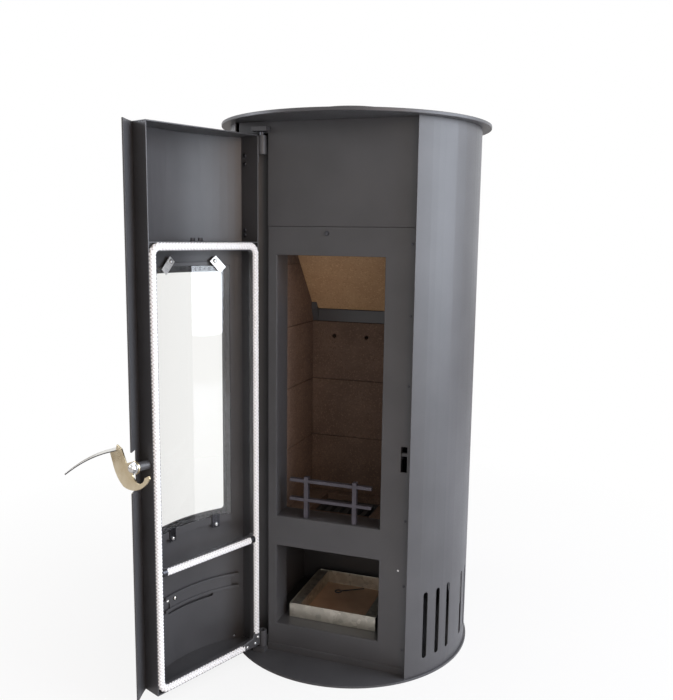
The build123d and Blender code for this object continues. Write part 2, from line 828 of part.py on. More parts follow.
# Ash pan: a tray with side flanges behind a full-width front
pan_floor = floor_top + running_gap
pan_flange = pan_front_width / 2
pan_tray = pan_tray_width / 2

with BuildPart() as ash_pan:
    with BuildSketch(stove_plan.offset(pan_floor)):
        add(block(centre_x - pan_tray, centre_x + pan_tray, -pan_front, pan_length - pan_front))
    extrude(amount=pan_height)
    with BuildSketch(stove_plan.offset(pan_floor + pan_sheet)):
        add(block(centre_x - pan_tray + pan_sheet, centre_x + pan_tray - pan_sheet,
                  pan_sheet - pan_front, pan_length - pan_front - pan_sheet))
    extrude(amount=pan_height, mode=Mode.SUBTRACT)
    with BuildSketch(stove_plan.offset(pan_floor + pan_height - pan_sheet)):
        for outer in (centre_x - pan_flange, centre_x + pan_tray - pan_sheet):
            add(block(outer, outer + pan_flange - pan_tray + pan_sheet, -pan_front, pan_length - pan_front))
    extrude(amount=pan_sheet)
    with BuildSketch(stove_face.offset(pan_front - pan_sheet)):
        add(block(centre_x - pan_flange, centre_x + pan_flange, pan_floor, pan_floor + pan_height))
    extrude(amount=pan_sheet)
ash_pan.part.label = "ash_pan"
export_step(ash_pan.part, "parts/ash_pan.step")

# Log guard: two bars on two posts, dropped over pegs on the neck's floor
guard_x = centre_x + guard_shift
guard_front = panel_depth - guard_setback
guard_floor = fire_opening_bottom + running_gap
post_places = [(guard_x + side * guard_post_spread / 2, guard_depth / 2 - guard_front) for side in (-1, 1)]

with BuildPart() as log_guard:
    with BuildSketch(stove_plan.offset(guard_floor)):
        with Locations(*post_places):
            Rectangle(guard_post_width, guard_depth)
    extrude(amount=guard_height)
    for level in guard_bar_levels:
        with BuildSketch(stove_plan.offset(guard_floor + level - guard_bar / 2)):
            add(block(guard_x - guard_width / 2, guard_x + guard_width / 2, -guard_front,
                      guard_depth - guard_front))
        extrude(amount=guard_bar)
    with BuildSketch(stove_plan.offset(guard_floor)):
        with Locations(*post_places):
            Circle(peg_radius + running_gap)
    extrude(amount=peg_height, mode=Mode.SUBTRACT)
log_guard.part.label = "log_guard"
export_step(log_guard.part, "parts/log_guard.step")

with BuildPart() as guard_pegs:
    with BuildSketch(stove_plan.offset(fire_opening_bottom)):
        with Locations(*post_places):
            Circle(peg_radius)
    extrude(amount=peg_height)
guard_pegs.part.label = "guard_pegs"
export_step(guard_pegs.part, "parts/guard_pegs.step")

# Hinge plates and pins on the stove
with BuildPart() as lower_hinge_plate:
    with BuildSketch(stove_plan.offset(base_thickness)):
        add(block(hinge_x - hinge_plate_reach, panel_left - running_gap,
                  hinge_y - hinge_plate_reach, hinge_y + hinge_plate_reach))
    extrude(amount=hinge_plate)
lower_hinge_plate.part.label = "lower_hinge_plate"
export_step(lower_hinge_plate.part, "parts/lower_hinge_plate.step")

with BuildPart() as upper_hinge_plate:
    with BuildSketch(stove_plan.offset(upper_plate_level)):
        add(block(hinge_x - hinge_plate_reach, hinge_x + hinge_plate_reach,
                  hinge_y - hinge_plate_reach, -panel_depth))
    extrude(amount=hinge_plate)
upper_hinge_plate.part.label = "upper_hinge_plate"
export_step(upper_hinge_plate.part, "parts/upper_hinge_plate.step")

lower_pin_bottom = base_thickness + hinge_plate
with BuildPart() as hinge_pins:
    with BuildSketch(stove_plan.offset(lower_pin_bottom), stove_plan.offset(upper_plate_level - pin_length)):
        with Locations((hinge_x, hinge_y)):
            Circle(pin_radius)
    extrude(amount=pin_length)
hinge_pins.part.label = "hinge_pins"
export_step(hinge_pins.part, "parts/hinge_pins.step")

# Door knuckles, each with a leaf on the door's hinge-side wall
lower_leaf = door_bottom + door_sheet
upper_leaf = door_top - door_sheet - leaf_height
lower_knuckle = lower_pin_bottom + running_gap
upper_knuckle = door_top - running_gap - knuckle_length

with BuildPart() as hinge_knuckles:
    with BuildSketch(door_plan.offset(lower_knuckle), door_plan.offset(upper_knuckle)):
        with Locations((hinge_x, hinge_y)):
            Circle(knuckle_radius)
    extrude(amount=knuckle_length)
    with BuildSketch(door_plan.offset(lower_leaf), door_plan.offset(upper_leaf)):
        add(block(wall_left - leaf_thickness, wall_left, hinge_y - leaf_width, hinge_y))
    extrude(amount=leaf_height)
    with BuildSketch(door_plan):
        with Locations((hinge_x, hinge_y)):
            Circle(pin_radius + pin_play)
    extrude(amount=stove_height, mode=Mode.SUBTRACT)
hinge_knuckles.part.label = "hinge_knuckles"
export_step(hinge_knuckles.part, "parts/hinge_knuckles.step")

# Door skin with its window, air slots and latch notch
travel_reach = knob_travel + knob_stem + 2 * running_gap
slider_holes = [(slider_hole_first + i * slider_hole_pitch, slider_hole_level)
                for i in range(slider_hole_count)]

with BuildPart() as door_skin:
    with BuildSketch(door_plan.offset(door_bottom)):
        add(band(skin_inner, casing_radius, -skin_turn, skin_turn))
    extrude(amount=door_top - door_bottom)
    with BuildSketch(door_face):
        with Locations((0, (window_bottom + window_top) / 2)):
            RectangleRounded(2 * window_half_width, window_top - window_bottom, window_corner)
        with Locations((0, slot_level)):
            SlotOverall(2 * slot_half_width, slot_height)
        with Locations((knob_place, knob_level)):
            SlotOverall(2 * travel_reach, knob_slot_height)
        with Locations(*slider_holes):
            Circle(slider_hole)
        with Locations((drain_place, drain_level)):
            Circle(drain_radius)
        add(block(skin_half_width - skin_notch_depth, skin_half_width + overrun,
                  skin_notch_bottom, skin_notch_top))
    extrude(amount=casing_radius + overrun, mode=Mode.SUBTRACT)
door_skin.part.label = "door_skin"
export_step(door_skin.part, "parts/door_skin.step")


def door_area(low_x, high_x):
    """The door's plan between two places across, from its rim to the inside of its skin."""
    with BuildSketch() as area:
        add(block(low_x, high_x, -casing_radius, -door_rim))
        Circle(skin_inner, mode=Mode.INTERSECT)
    return area.sketch


# Door box: side walls, caps, partition and the rope's channel
with BuildPart() as door_wall_hinge_side:
    with BuildSketch(door_plan.offset(door_bottom + door_sheet)):
        add(door_area(wall_left, box_left))
    extrude(amount=door_top - door_bottom - 2 * door_sheet)
door_wall_hinge_side.part.label = "door_wall_hinge_side"
export_step(door_wall_hinge_side.part, "parts/door_wall_hinge_side.step")

with BuildPart() as door_wall_free_side:
    with BuildSketch(door_plan.offset(door_bottom + door_sheet)):
        add(door_area(box_right, wall_right))
    extrude(amount=door_top - door_bottom - 2 * door_sheet)
door_wall_free_side.part.label = "door_wall_free_side"
export_step(door_wall_free_side.part, "parts/door_wall_free_side.step")

with BuildPart() as door_caps:
    with BuildSketch(door_plan.offset(door_bottom), door_plan.offset(door_top - door_sheet)):
        add(door_area(wall_left, wall_right))
    extrude(amount=door_sheet)
door_caps.part.label = "door_caps"
export_step(door_caps.part, "parts/door_caps.step")

with BuildPart() as door_partition:
    with BuildSketch(door_plan.offset(partition_level)):
        add(door_area(box_left, box_right))
    extrude(amount=door_sheet)
door_partition.part.label = "door_partition"
export_step(door_partition.part, "parts/door_partition.step")

inner_left = rope_left + lip_offset + door_sheet
inner_right = rope_right - lip_offset - door_sheet
upper_inner_bottom = cross_rope_level + lip_offset + door_sheet
upper_inner_top = rope_top - lip_offset - door_sheet
lower_inner_bottom = rope_bottom + lip_offset + door_sheet
lower_inner_top = cross_rope_level - lip_offset - door_sheet
channel_corner = rope_corner - lip_offset


def window_ring(low, high, margin):
    """A rounded window of the door box between two levels, grown by a margin."""
    with BuildSketch() as area:
        with Locations(((inner_left + inner_right) / 2, (low + high) / 2)):
            RectangleRounded(inner_right - inner_left + 2 * margin, high - low + 2 * margin,
                             channel_corner - door_sheet + margin)
    return area.sketch


inner_levels = ((upper_inner_bottom, upper_inner_top), (lower_inner_bottom, lower_inner_top))

with BuildPart() as gasket_channel:
    with BuildSketch(door_face.offset(channel_front)):
        add(block(box_left, box_right, door_bottom + door_sheet, partition_level))
        for low, high in inner_levels:
            add(window_ring(low, high, 0), mode=Mode.SUBTRACT)
    extrude(amount=door_sheet)
    with BuildSketch(door_face.offset(door_rim)):
        for low, high in inner_levels:
            add(window_ring(low, high, door_sheet))
            add(window_ring(low, high, 0), mode=Mode.SUBTRACT)
    extrude(amount=channel_front - door_rim)
gasket_channel.part.label = "gasket_channel"
export_step(gasket_channel.part, "parts/gasket_channel.step")

# Rope seal: a loop round both windows and a run across between them
with BuildPart() as door_rope:
    with BuildLine(door_face.offset(rope_depth)) as rope_path:
        FilletPolyline((rope_left, rope_bottom), (rope_right, rope_bottom), (rope_right, rope_top),
                       (rope_left, rope_top), radius=rope_corner, close=True)
    with BuildSketch(Plane(origin=rope_path.line @ 0, z_dir=rope_path.line % 0)):
        Circle(rope_radius)
    sweep()
door_rope.part.label = "door_rope"
export_step(door_rope.part, "parts/door_rope.step")

with BuildPart() as cross_rope:
    with BuildSketch(door_side.offset(rope_left + lip_offset)):
        with Locations((-rope_depth, cross_rope_level)):
            Circle(rope_radius)
    extrude(amount=rope_right - rope_left - 2 * lip_offset)
cross_rope.part.label = "cross_rope"
export_step(cross_rope.part, "parts/cross_rope.step")

# Window: curved glass on a tape seal, held by four clips
glass_turn = turn_at(glass_half, glass_outer)
clip_turn = turn_at(clip_place, glass_inner)
clip_half_turn = turn_at(clip_width / 2, glass_inner)

with BuildPart() as window_glass:
    with BuildSketch(door_plan.offset(glass_bottom)):
        add(band(glass_inner, glass_outer, -glass_turn, glass_turn))
    extrude(amount=glass_top - glass_bottom)
window_glass.part.label = "window_glass"
export_step(window_glass.part, "parts/window_glass.step")

with BuildPart() as glass_tape:
    with BuildSketch(door_plan.offset(glass_bottom)):
        add(band(glass_outer, skin_inner, -glass_turn, glass_turn))
    extrude(amount=glass_top - glass_bottom)
    with BuildSketch(door_face):
        with Locations((0, (window_bottom + window_top) / 2)):
            Rectangle(2 * (glass_half - tape_width), glass_top - glass_bottom - 2 * tape_width)
    extrude(amount=casing_radius + overrun, mode=Mode.SUBTRACT)
glass_tape.part.label = "glass_tape"
export_step(glass_tape.part, "parts/glass_tape.step")

with BuildPart() as glass_retainer:
    with BuildSketch(door_plan.offset(glass_bottom - running_gap - retainer_height)):
        add(band(glass_inner + running_gap, skin_inner, -glass_turn, glass_turn))
    extrude(amount=retainer_height)
glass_retainer.part.label = "glass_retainer"
export_step(glass_retainer.part, "parts/glass_retainer.step")

foot_bottom = glass_top + running_gap
with BuildPart() as glass_clips:
    for middle in (-clip_turn, clip_turn):
        with BuildSketch(door_plan.offset(glass_top - clip_lap)):
            add(band(glass_inner - clip_thickness, glass_inner, middle - clip_half_turn,
                     middle + clip_half_turn))
        extrude(amount=foot_bottom + clip_foot - glass_top + clip_lap)
        with BuildSketch(door_plan.offset(foot_bottom)):
            add(band(glass_inner, skin_inner, middle - clip_half_turn, middle + clip_half_turn))
        extrude(amount=clip_foot)
        with BuildSketch(door_plan.offset(glass_bottom - clip_foot - running_gap)):
            add(band(glass_inner - clip_thickness, glass_inner, middle - clip_half_turn,
                     middle + clip_half_turn))
        extrude(amount=clip_foot + clip_lap + running_gap)
glass_clips.part.label = "glass_clips"
export_step(glass_clips.part, "parts/glass_clips.step")

wash_turn = clip_turn - clip_half_turn
with BuildPart() as air_wash_bar:
    with BuildSketch(door_plan.offset(foot_bottom)):
        add(band(glass_inner, skin_inner - pin_play, -wash_turn, wash_turn))
    extrude(amount=wash_bar_height)
air_wash_bar.part.label = "air_wash_bar"
export_step(air_wash_bar.part, "parts/air_wash_bar.step")

# Screws on the door's inside: on the clips, the hinge-side wall and the partition
clip_screw_levels = (foot_bottom + clip_foot / 2, glass_bottom - running_gap - retainer_height / 2)
clip_screw_planes = [facing(door_plan, turn, level).offset(glass_inner - clip_thickness - pin_play)
                     for turn in (-clip_turn, clip_turn) for level in clip_screw_levels]

with BuildPart() as door_screws:
    with BuildSketch(*clip_screw_planes):
        Circle(screw_radius)
    extrude(amount=-screw_head)
    with BuildSketch(door_side.offset(box_left)):
        with Locations(*[(-wall_screw_place, door_top - drop) for drop in wall_screw_drops]):
            Circle(screw_radius)
    extrude(amount=screw_head)
    with BuildSketch(door_plan.offset(partition_level + door_sheet)):
        with Locations((centre_x - partition_bolt_spread, -partition_bolt_place),
                       (centre_x + partition_bolt_spread, -partition_bolt_place)):
            RegularPolygon(screw_radius, 6)
    extrude(amount=partition_bolt_height)
door_screws.part.label = "door_screws"
export_step(door_screws.part, "parts/door_screws.step")

# Air slider, which turns about the skin's axis between two rails
slider_start = turn_at(slider_left, slider_outer)
slider_end = turn_at(slider_right, slider_outer)
rail_start = turn_at(slider_left - rail_margin, skin_inner)
rail_end = turn_at(slider_right + rail_margin, skin_inner)
knob_turn = turn_at(knob_place, slider_outer)

with BuildPart() as slider_rails:
    for low, lip_low in ((slider_bottom - running_gap - rail_web, slider_bottom - running_gap - rail_web),
                         (slider_top + running_gap, slider_top - rail_cover)):
        with BuildSketch(door_plan.offset(low)):
            add(band(rail_inner, skin_inner, rail_start, rail_end))
        extrude(amount=rail_web)
        with BuildSketch(door_plan.offset(lip_low)):
            add(band(rail_inner - rail_lip, rail_inner, rail_start, rail_end))
        extrude(amount=rail_web + rail_cover + running_gap)
slider_rails.part.label = "slider_rails"
export_step(slider_rails.part, "parts/slider_rails.step")

with BuildPart() as air_slider:
    with BuildSketch(door_plan.offset(slider_bottom)):
        add(band(slider_inner, slider_outer, slider_start, slider_end))
    extrude(amount=slider_height)
    with BuildSketch(door_face):
        with Locations(*slider_holes):
            Circle(slider_hole)
    extrude(amount=casing_radius, mode=Mode.SUBTRACT)
    with BuildSketch(facing(door_plan, knob_turn, knob_level)):
        Circle(knob_stem + pin_play)
    extrude(amount=casing_radius, mode=Mode.SUBTRACT)
air_slider.part.label = "air_slider"
export_step(air_slider.part, "parts/air_slider.step")

knob_axis = facing(door_plan, knob_turn, knob_level)
with BuildPart() as air_knob:
    with BuildSketch(knob_axis.offset(slider_inner - knob_nut_height - pin_play)):
        RegularPolygon(knob_nut_radius, 6)
    extrude(amount=knob_nut_height)
    with BuildSketch(knob_axis.offset(slider_inner - knob_nut_height - pin_play)):
        Circle(knob_stem)
    extrude(amount=casing_radius - slider_inner + knob_nut_height + knob_length / 2)
    with BuildSketch(knob_axis.offset(casing_radius + 2 * running_gap)):
        Circle(knob_radius)
    extrude(amount=knob_length)
    fillet(air_knob.faces().sort_by(Axis(knob_axis.origin, knob_axis.z_dir))[-1].edges(), knob_radius / 4)
air_knob.part.label = "air_knob"
export_step(air_knob.part, "parts/air_knob.step")

# Latch: the stud with its spacer, washer and nut stays on the door
hook_inner = hook_place - hook_thickness / 2
hook_outer = hook_place + hook_thickness / 2
washer_place = hook_outer + running_gap
nut_place = washer_place + washer_thickness

with BuildPart() as latch_stud:
    with BuildSketch(door_side.offset(wall_right)):
        with Locations((-pivot_depth, pivot_level)):
            Circle(spacer_radius)
    extrude(amount=hook_inner - running_gap - wall_right)
    with BuildSketch(door_side.offset(wall_right)):
        with Locations((-pivot_depth, pivot_level)):
            Circle(stud_radius)
    extrude(amount=nut_place + nut_thickness - wall_right)
    with BuildSketch(door_side.offset(washer_place)):
        with Locations((-pivot_depth, pivot_level)):
            Circle(washer_radius)
    extrude(amount=washer_thickness)
    with BuildSketch(door_side.offset(nut_place)):
        with Locations((-pivot_depth, pivot_level)):
            RegularPolygon(nut_radius, 6)
    extrude(amount=nut_thickness)
latch_stud.part.label = "latch_stud"
export_step(latch_stud.part, "parts/latch_stud.step")

# The handle is a bowed strip that runs outward and down from the hook's outer end
handle_out = door_plan.x_dir * sin(radians(handle_turn)) - door_plan.y_dir * cos(radians(handle_turn))
handle_root = door_plan.from_local_coords(Vector(hook_place, -handle_root_depth, 0))
handle_plane = Plane(origin=handle_root, x_dir=handle_out, z_dir=handle_out.cross(Vector(0, 0, 1)))
strip_tip = Vector(handle_length, handle_root_level - handle_drop)
strip_root = Vector(0, handle_root_level)
strip_middle = (strip_root + strip_tip) / 2
strip_bow = Vector(handle_drop, handle_length).normalized() * handle_bow
strip_inner = Vector(-handle_tab, handle_root_level + handle_tab_rise)
strip_sink = Vector(0, -handle_thickness)

with BuildPart() as latch_handle:
    with BuildSketch(handle_plane):
        with BuildLine():
            ThreePointArc(strip_root, strip_middle + strip_bow, strip_tip)
            Line(strip_tip, strip_tip + strip_sink)
            ThreePointArc(strip_root + strip_sink, strip_middle + strip_bow + strip_sink,
                          strip_tip + strip_sink)
            Polyline(strip_root + strip_sink, strip_inner + strip_sink, strip_inner, strip_root)
        make_face()
    extrude(amount=handle_width / 2, both=True)
latch_handle.part.label = "latch_handle"
export_step(latch_handle.part, "parts/latch_handle.step")

# The hook's plate: a curved back, a throat that takes the striker, and an arm up to the handle
back = hook_places(hook_back_shares)
tip = hook_places(hook_tip_shares)
throat = hook_places(hook_throat_shares)

with BuildPart() as latch_hook:
    with BuildSketch(door_side.offset(hook_inner)):
        with BuildLine():
            ThreePointArc(back[1], back[2], back[3])
            ThreePointArc(back[3], back[4], tip[0])
            Polyline(tip[0], tip[1], throat[0])
            ThreePointArc(throat[0], throat[1], throat[2])
            Polyline(throat[2], *hook_places(hook_boss_shares), *hook_places(hook_top_shares),
                     back[0], back[1])
        make_face()
        with Locations((-pivot_depth, pivot_level)):
            Circle(hook_boss)
            Circle(stud_radius + pin_play, mode=Mode.SUBTRACT)
    extrude(amount=hook_thickness)
    add(latch_handle.part, mode=Mode.SUBTRACT)
latch_hook.part.label = "latch_hook"
export_step(latch_hook.part, "parts/latch_hook.step")

print("door axis", round(door_axis.X, 3), round(door_axis.Y, 3))
print("latch pivot", door_side.from_local_coords(Vector(-pivot_depth, pivot_level, hook_place)))
print("slider turn", round(degrees(knob_travel / slider_outer), 3))
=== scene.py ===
# %% [markdown]
# # A round steel wood stove with its door swung open
# The stove is already exact as a CAD frame: every plate, brick and screw has its place there.
# Blender adds what the CAD leaves out: paint, firebrick, braided rope, glass and bright steel,
# softened plate edges, and the small turned and bent parts that catch the light.
# All of it could be modelled by hand, but written out, each size can be read and changed.
# Everything is in metres, in the frame's own places, so nothing has to be fitted afterwards.

# %% The frame
import json
import math

import bmesh
import bpy
import numpy as np
from mathutils import Matrix


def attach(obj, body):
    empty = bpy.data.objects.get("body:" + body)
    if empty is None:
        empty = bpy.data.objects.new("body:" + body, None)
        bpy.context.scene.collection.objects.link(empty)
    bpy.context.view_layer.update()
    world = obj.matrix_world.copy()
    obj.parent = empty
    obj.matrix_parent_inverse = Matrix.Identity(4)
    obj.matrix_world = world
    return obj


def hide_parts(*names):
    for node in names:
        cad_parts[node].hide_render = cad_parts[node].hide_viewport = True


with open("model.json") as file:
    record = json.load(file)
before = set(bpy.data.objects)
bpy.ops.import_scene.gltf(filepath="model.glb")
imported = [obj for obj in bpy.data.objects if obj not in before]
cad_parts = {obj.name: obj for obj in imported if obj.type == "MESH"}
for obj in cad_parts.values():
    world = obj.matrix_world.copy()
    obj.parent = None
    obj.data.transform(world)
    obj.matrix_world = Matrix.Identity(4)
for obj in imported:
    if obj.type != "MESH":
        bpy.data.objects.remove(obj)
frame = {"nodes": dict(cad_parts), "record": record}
nodes = frame["nodes"]
behaviour = frame["record"]["behaviour"]
body_of_node = {node: body for body, names in behaviour["bodies"].items() for node in names}
slot_of_node = {row["node"]: row["material_slot"] for row in frame["record"]["subparts"]}
joints = {joint["name"]: joint for joint in behaviour["joints"]}
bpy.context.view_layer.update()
scene = bpy.context.scene
scene.view_settings.view_transform = "Standard"

# %% [markdown]
# ## The camera
# The photograph was taken from in front and to the right, from just above the window's top edge, with the
# lens pointing slightly down. A camera could be placed by eye, but then nothing lines up. These values
# come from fitting the round top plate, the openings and the open door to the picture. Blender's sensor
# width belongs to the picture's long side, so the lens is the focal length in pixels times the sensor
# over 700.

# %% Camera
camera_place = np.array([0.47117, -1.45763, 0.80056])
camera_yaw, camera_pitch, camera_roll = np.radians([-19.12, -8.43, 0.73])
focal_pixels = 783.78
picture_long_side = 700
sensor_width = 36.0

ahead = np.array([math.sin(camera_yaw) * math.cos(camera_pitch),
                  math.cos(camera_yaw) * math.cos(camera_pitch), math.sin(camera_pitch)])
level_right = np.array([math.cos(camera_yaw), -math.sin(camera_yaw), 0.0])
level_up = np.cross(level_right, ahead)
right = math.cos(camera_roll) * level_right + math.sin(camera_roll) * level_up
up = math.cos(camera_roll) * level_up - math.sin(camera_roll) * level_right
camera_axes = np.column_stack([right, up, -ahead])

camera_data = bpy.data.cameras.new("camera")
camera_data.sensor_width = sensor_width
camera_data.lens = focal_pixels * sensor_width / picture_long_side
camera = bpy.data.objects.new("camera", camera_data)
scene.collection.objects.link(camera)
camera.matrix_world = Matrix.Translation(camera_place.tolist()) @ Matrix(camera_axes.tolist()).to_4x4()
scene.camera = camera
print("lens", round(camera_data.lens, 2), "mm")

# %% [markdown]
# ## Finishes
# A finish is a few nodes: a pattern in real millimetres decides the tone, a finer one the gloss and a
# slight relief. An image could do the same, but noise has no seams and no fixed resolution. One helper
# turns a web colour into the linear light Blender works in, one adds a node with its inputs, and one
# starts a material.

# %% Colour and node helpers


def colour(code):
    """An sRGB hex colour as linear red, green, blue and full cover."""
    parts = np.array([int(code[i:i + 2], 16) for i in (1, 3, 5)]) / 255
    linear = np.where(parts <= 0.04045, parts / 12.92, ((parts + 0.055) / 1.055) ** 2.4)
    return (*linear.tolist(), 1.0)


def add_node(tree, kind, inputs=None, **settings):
    """Adds a node, sets its own settings, and fills its inputs with values or with other nodes' outputs."""
    node = tree.nodes.new(kind)
    for name, value in settings.items():
        setattr(node, name, value)
    for name, value in (inputs or {}).items():
        socket = next(s for s in node.inputs if name in (s.identifier, s.name))
        if isinstance(value, bpy.types.NodeSocket):
            tree.links.new(value, socket)
        else:
            socket.default_value = value
    return node


def start_finish(name, values):
    """A material with one Principled shader, and the Object coordinates its pattern is laid on."""
    material = bpy.data.materials.new(name)
    material.use_nodes = True
    tree = material.node_tree
    tree.nodes.clear()
    shader = add_node(tree, "ShaderNodeBsdfPrincipled", values)
    add_node(tree, "ShaderNodeOutputMaterial", {"Surface": shader.outputs["BSDF"]})
    place = add_node(tree, "ShaderNodeTexCoord").outputs["Object"]
    return material, tree, shader, place


print("colour and node helpers ready")

# %% [markdown]
# ### The shared recipes
# Paint, metal, brick and rope differ in their sizes and tones, not in how they are built. So one recipe
# mottles a surface, and a second scatters flecks over it. Blender's noise mostly lies between 0.3 and
# 0.7, so that stretch of it is spread out to the full range.

# %% Mottled and flecked finishes
noise_low, noise_high = 0.3, 0.7
full_fleck_share = 0.6


def mottled(name, tones, patch, grain, relief, gloss, metallic=0.0):
    """The colour drifts between two tones in patches, and a finer noise, the grain, spreads the roughness
    between the two gloss values and lifts the surface by the relief. Sizes are in metres."""
    material, tree, shader, place = start_finish(name, {"Metallic": metallic})
    cloud = add_node(tree, "ShaderNodeTexNoise", {"Vector": place, "Scale": 1 / patch, "Detail": 4.0})
    spread = add_node(tree, "ShaderNodeMapRange", {
        "Value": cloud.outputs["Fac"], "From Min": noise_low, "From Max": noise_high})
    tone = add_node(tree, "ShaderNodeMix", {
        "Factor_Float": spread.outputs["Result"], "A_Color": colour(tones[0]),
        "B_Color": colour(tones[1])}, data_type="RGBA")
    fine = add_node(tree, "ShaderNodeTexNoise", {"Vector": place, "Scale": 1 / grain, "Detail": 2.0})
    shine = add_node(tree, "ShaderNodeMapRange", {
        "Value": fine.outputs["Fac"], "From Min": noise_low, "From Max": noise_high,
        "To Min": gloss[0], "To Max": gloss[1]})
    lift = add_node(tree, "ShaderNodeBump", {"Height": fine.outputs["Fac"], "Distance": relief})
    tree.links.new(tone.outputs[2], shader.inputs["Base Color"])
    tree.links.new(shine.outputs["Result"], shader.inputs["Roughness"])
    tree.links.new(lift.outputs["Normal"], shader.inputs["Normal"])
    return material


def base_colour(material):
    """A finish's node tree, its shader's colour input, and the output that feeds it."""
    tree = material.node_tree
    shader = next(n for n in tree.nodes if n.type == "BSDF_PRINCIPLED")
    socket = shader.inputs["Base Color"]
    return tree, socket, socket.links[0].from_socket


def flecked(material, dark, light, cell, share):
    """Scatters flecks over a finish: cells of a Voronoi pattern, of which a share turns to another tone."""
    tree, socket, ground = base_colour(material)
    place = next(n for n in tree.nodes if n.type == "TEX_COORD").outputs["Object"]
    cells = add_node(tree, "ShaderNodeTexVoronoi", {"Vector": place, "Scale": 1 / cell})
    pick = add_node(tree, "ShaderNodeSeparateColor", {"Color": cells.outputs["Color"]})
    chosen = add_node(tree, "ShaderNodeMapRange", {
        "Value": pick.outputs["Red"], "From Min": 1 - share, "From Max": 1 - share * full_fleck_share})
    kind = add_node(tree, "ShaderNodeMix", {
        "Factor_Float": pick.outputs["Green"], "A_Color": colour(dark), "B_Color": colour(light)},
        data_type="RGBA")
    mixed = add_node(tree, "ShaderNodeMix", {
        "Factor_Float": chosen.outputs["Result"], "A_Color": ground, "B_Color": kind.outputs[2]},
        data_type="RGBA")
    tree.links.new(mixed.outputs[2], socket)


print("mottled and flecked finishes ready")

# %% [markdown]
# ### Painted and bare steel
# The casing wears silicone stove paint, sprayed and cured: a satin anthracite with the faint orange peel
# of spraying, about 1.5 mm across. The handle and the screws are bright steel, the hook is yellow zinc
# plate, and the ash pan is galvanised sheet, whose zinc froze in flat crystals about a centimetre
# across. Polishing marks are too fine for the picture, so they are drawn coarser, 0.4 to 0.8 mm across.

# %% Steel finishes
# Sprayed and oven-cured paint: one broad soft highlight and a barely uneven skin.
paint = mottled("satin_stove_paint", ("#454547", "#4d4d4f"), 0.09, 0.0016, 0.00004, (0.34, 0.46))
# Polished flat bar: it mirrors the room, a little warm.
bright_steel = mottled("polished_steel", ("#c4c2bc", "#dddbd6"), 0.03, 0.0006, 0.00001, (0.12, 0.26), 1.0)
# Zinc-plated screws: small cool sparks with a soft edge.
screw_steel = mottled("zinc_plated_screw_steel", ("#b9babb", "#dcdcda"), 0.004, 0.0004, 0.00001,
                      (0.18, 0.32), 1.0)
# Rolled bar that has seen fire: dark scale with a dull metal sheen.
guard_steel = mottled("rolled_steel_bar", ("#49464c", "#57545b"), 0.02, 0.0008, 0.00003, (0.38, 0.55), 0.6)
# Cast in sand: nearly black, rough, with no clear highlight.
cast_iron = mottled("sand_cast_iron", ("#232322", "#2e2d2c"), 0.02, 0.0014, 0.00025, (0.6, 0.8))
# Yellow-passivated zinc: pale gold with a blurred mirror.
hook_zinc = mottled("yellow_zinc_plate", ("#bfae8c", "#d8ccb0"), 0.03, 0.0008, 0.00001, (0.24, 0.34), 1.0)
# Thin folded sheet, wiped clean: very pale, and duller than the handle.
clip_steel = mottled("folded_bright_sheet", ("#d2d2d0", "#e6e6e4"), 0.006, 0.0005, 0.00001, (0.25, 0.4), 0.7)
# Hot-dip galvanised sheet: grey, broken up by flat crystals that differ slightly in tone.
galvanised = mottled("galvanised_sheet", ("#bbb6a9", "#cfcabd"), 0.03, 0.0012, 0.00003, (0.3, 0.45), 0.85)
flecked(galvanised, "#b0aca0", "#d6d1c4", 0.009, 0.8)
# The same sheet under hot ash: browned and almost matt.
stained_sheet = mottled("ash_stained_sheet", ("#bd9a7f", "#d3b194"), 0.06, 0.0012, 0.00004, (0.5, 0.65), 0.3)
# Blackened bolts and wire: dark, with a narrow bright line along each edge.
black_bolt = mottled("blackened_bolt_steel", ("#3b3b3d", "#55555a"), 0.003, 0.0004, 0.00002, (0.25, 0.4), 0.9)
print("steel finishes made")

# %% [markdown]
# ### Bricks, baffle, tape and glass
# The linings are pressed vermiculite boards: warm brown, dull, and full of small flakes of mica two or
# three millimetres across. The baffle is the same board, lighter. The tape under the glass is woven
# glass fibre, black with graphite. The window is clear glass-ceramic, so its shader lets light through
# instead of being made see-through, which would lose the reflections.

# %% Mineral finishes
fleck_size = 0.0022
# Pressed boards: no shine at all, and a crumbly, speckled face.
firebrick = mottled("pressed_vermiculite_brick", ("#5c4a3f", "#6e5a4d"), 0.05, 0.0012, 0.0002, (0.85, 0.95))
flecked(firebrick, "#554439", "#7b6454", fleck_size, 0.4)
baffle_board = mottled("pale_vermiculite_board", ("#ab8763", "#bb9872"), 0.05, 0.0012, 0.0002, (0.85, 0.95))
flecked(baffle_board, "#a27f5b", "#c4a17a", fleck_size, 0.4)
# Graphited tape: soft black cloth.
tape_cloth = mottled("graphited_glass_tape", ("#3f3f41", "#56565a"), 0.006, 0.0008, 0.0002, (0.6, 0.8))
# Glass-ceramic: clear and almost colourless, with sharp reflections.
glass_values = {"Base Color": colour("#fafaf8"), "Roughness": 0.01, "IOR": 1.5, "Transmission Weight": 1.0}
ceramic_glass = start_finish("clear_glass_ceramic", glass_values)[0]
print("mineral finishes made")

# %% [markdown]
# ### The rope's fibre
# The seal is braided from glass fibre, almost white, with shade in its grooves. The lamps alone would
# leave so small a groove too pale, so the mesh carries how high each point of the braid stands, and the
# finish paints shade on what lies low.

# %% Rope finish
# White fibre: matt and bright, with painted shade that turns it grey between the strands.
rope_fibre = mottled("braided_glass_fibre_rope", ("#f1f0ee", "#fafafa"), 0.004, 0.0005, 0.00015, (0.75, 0.92))
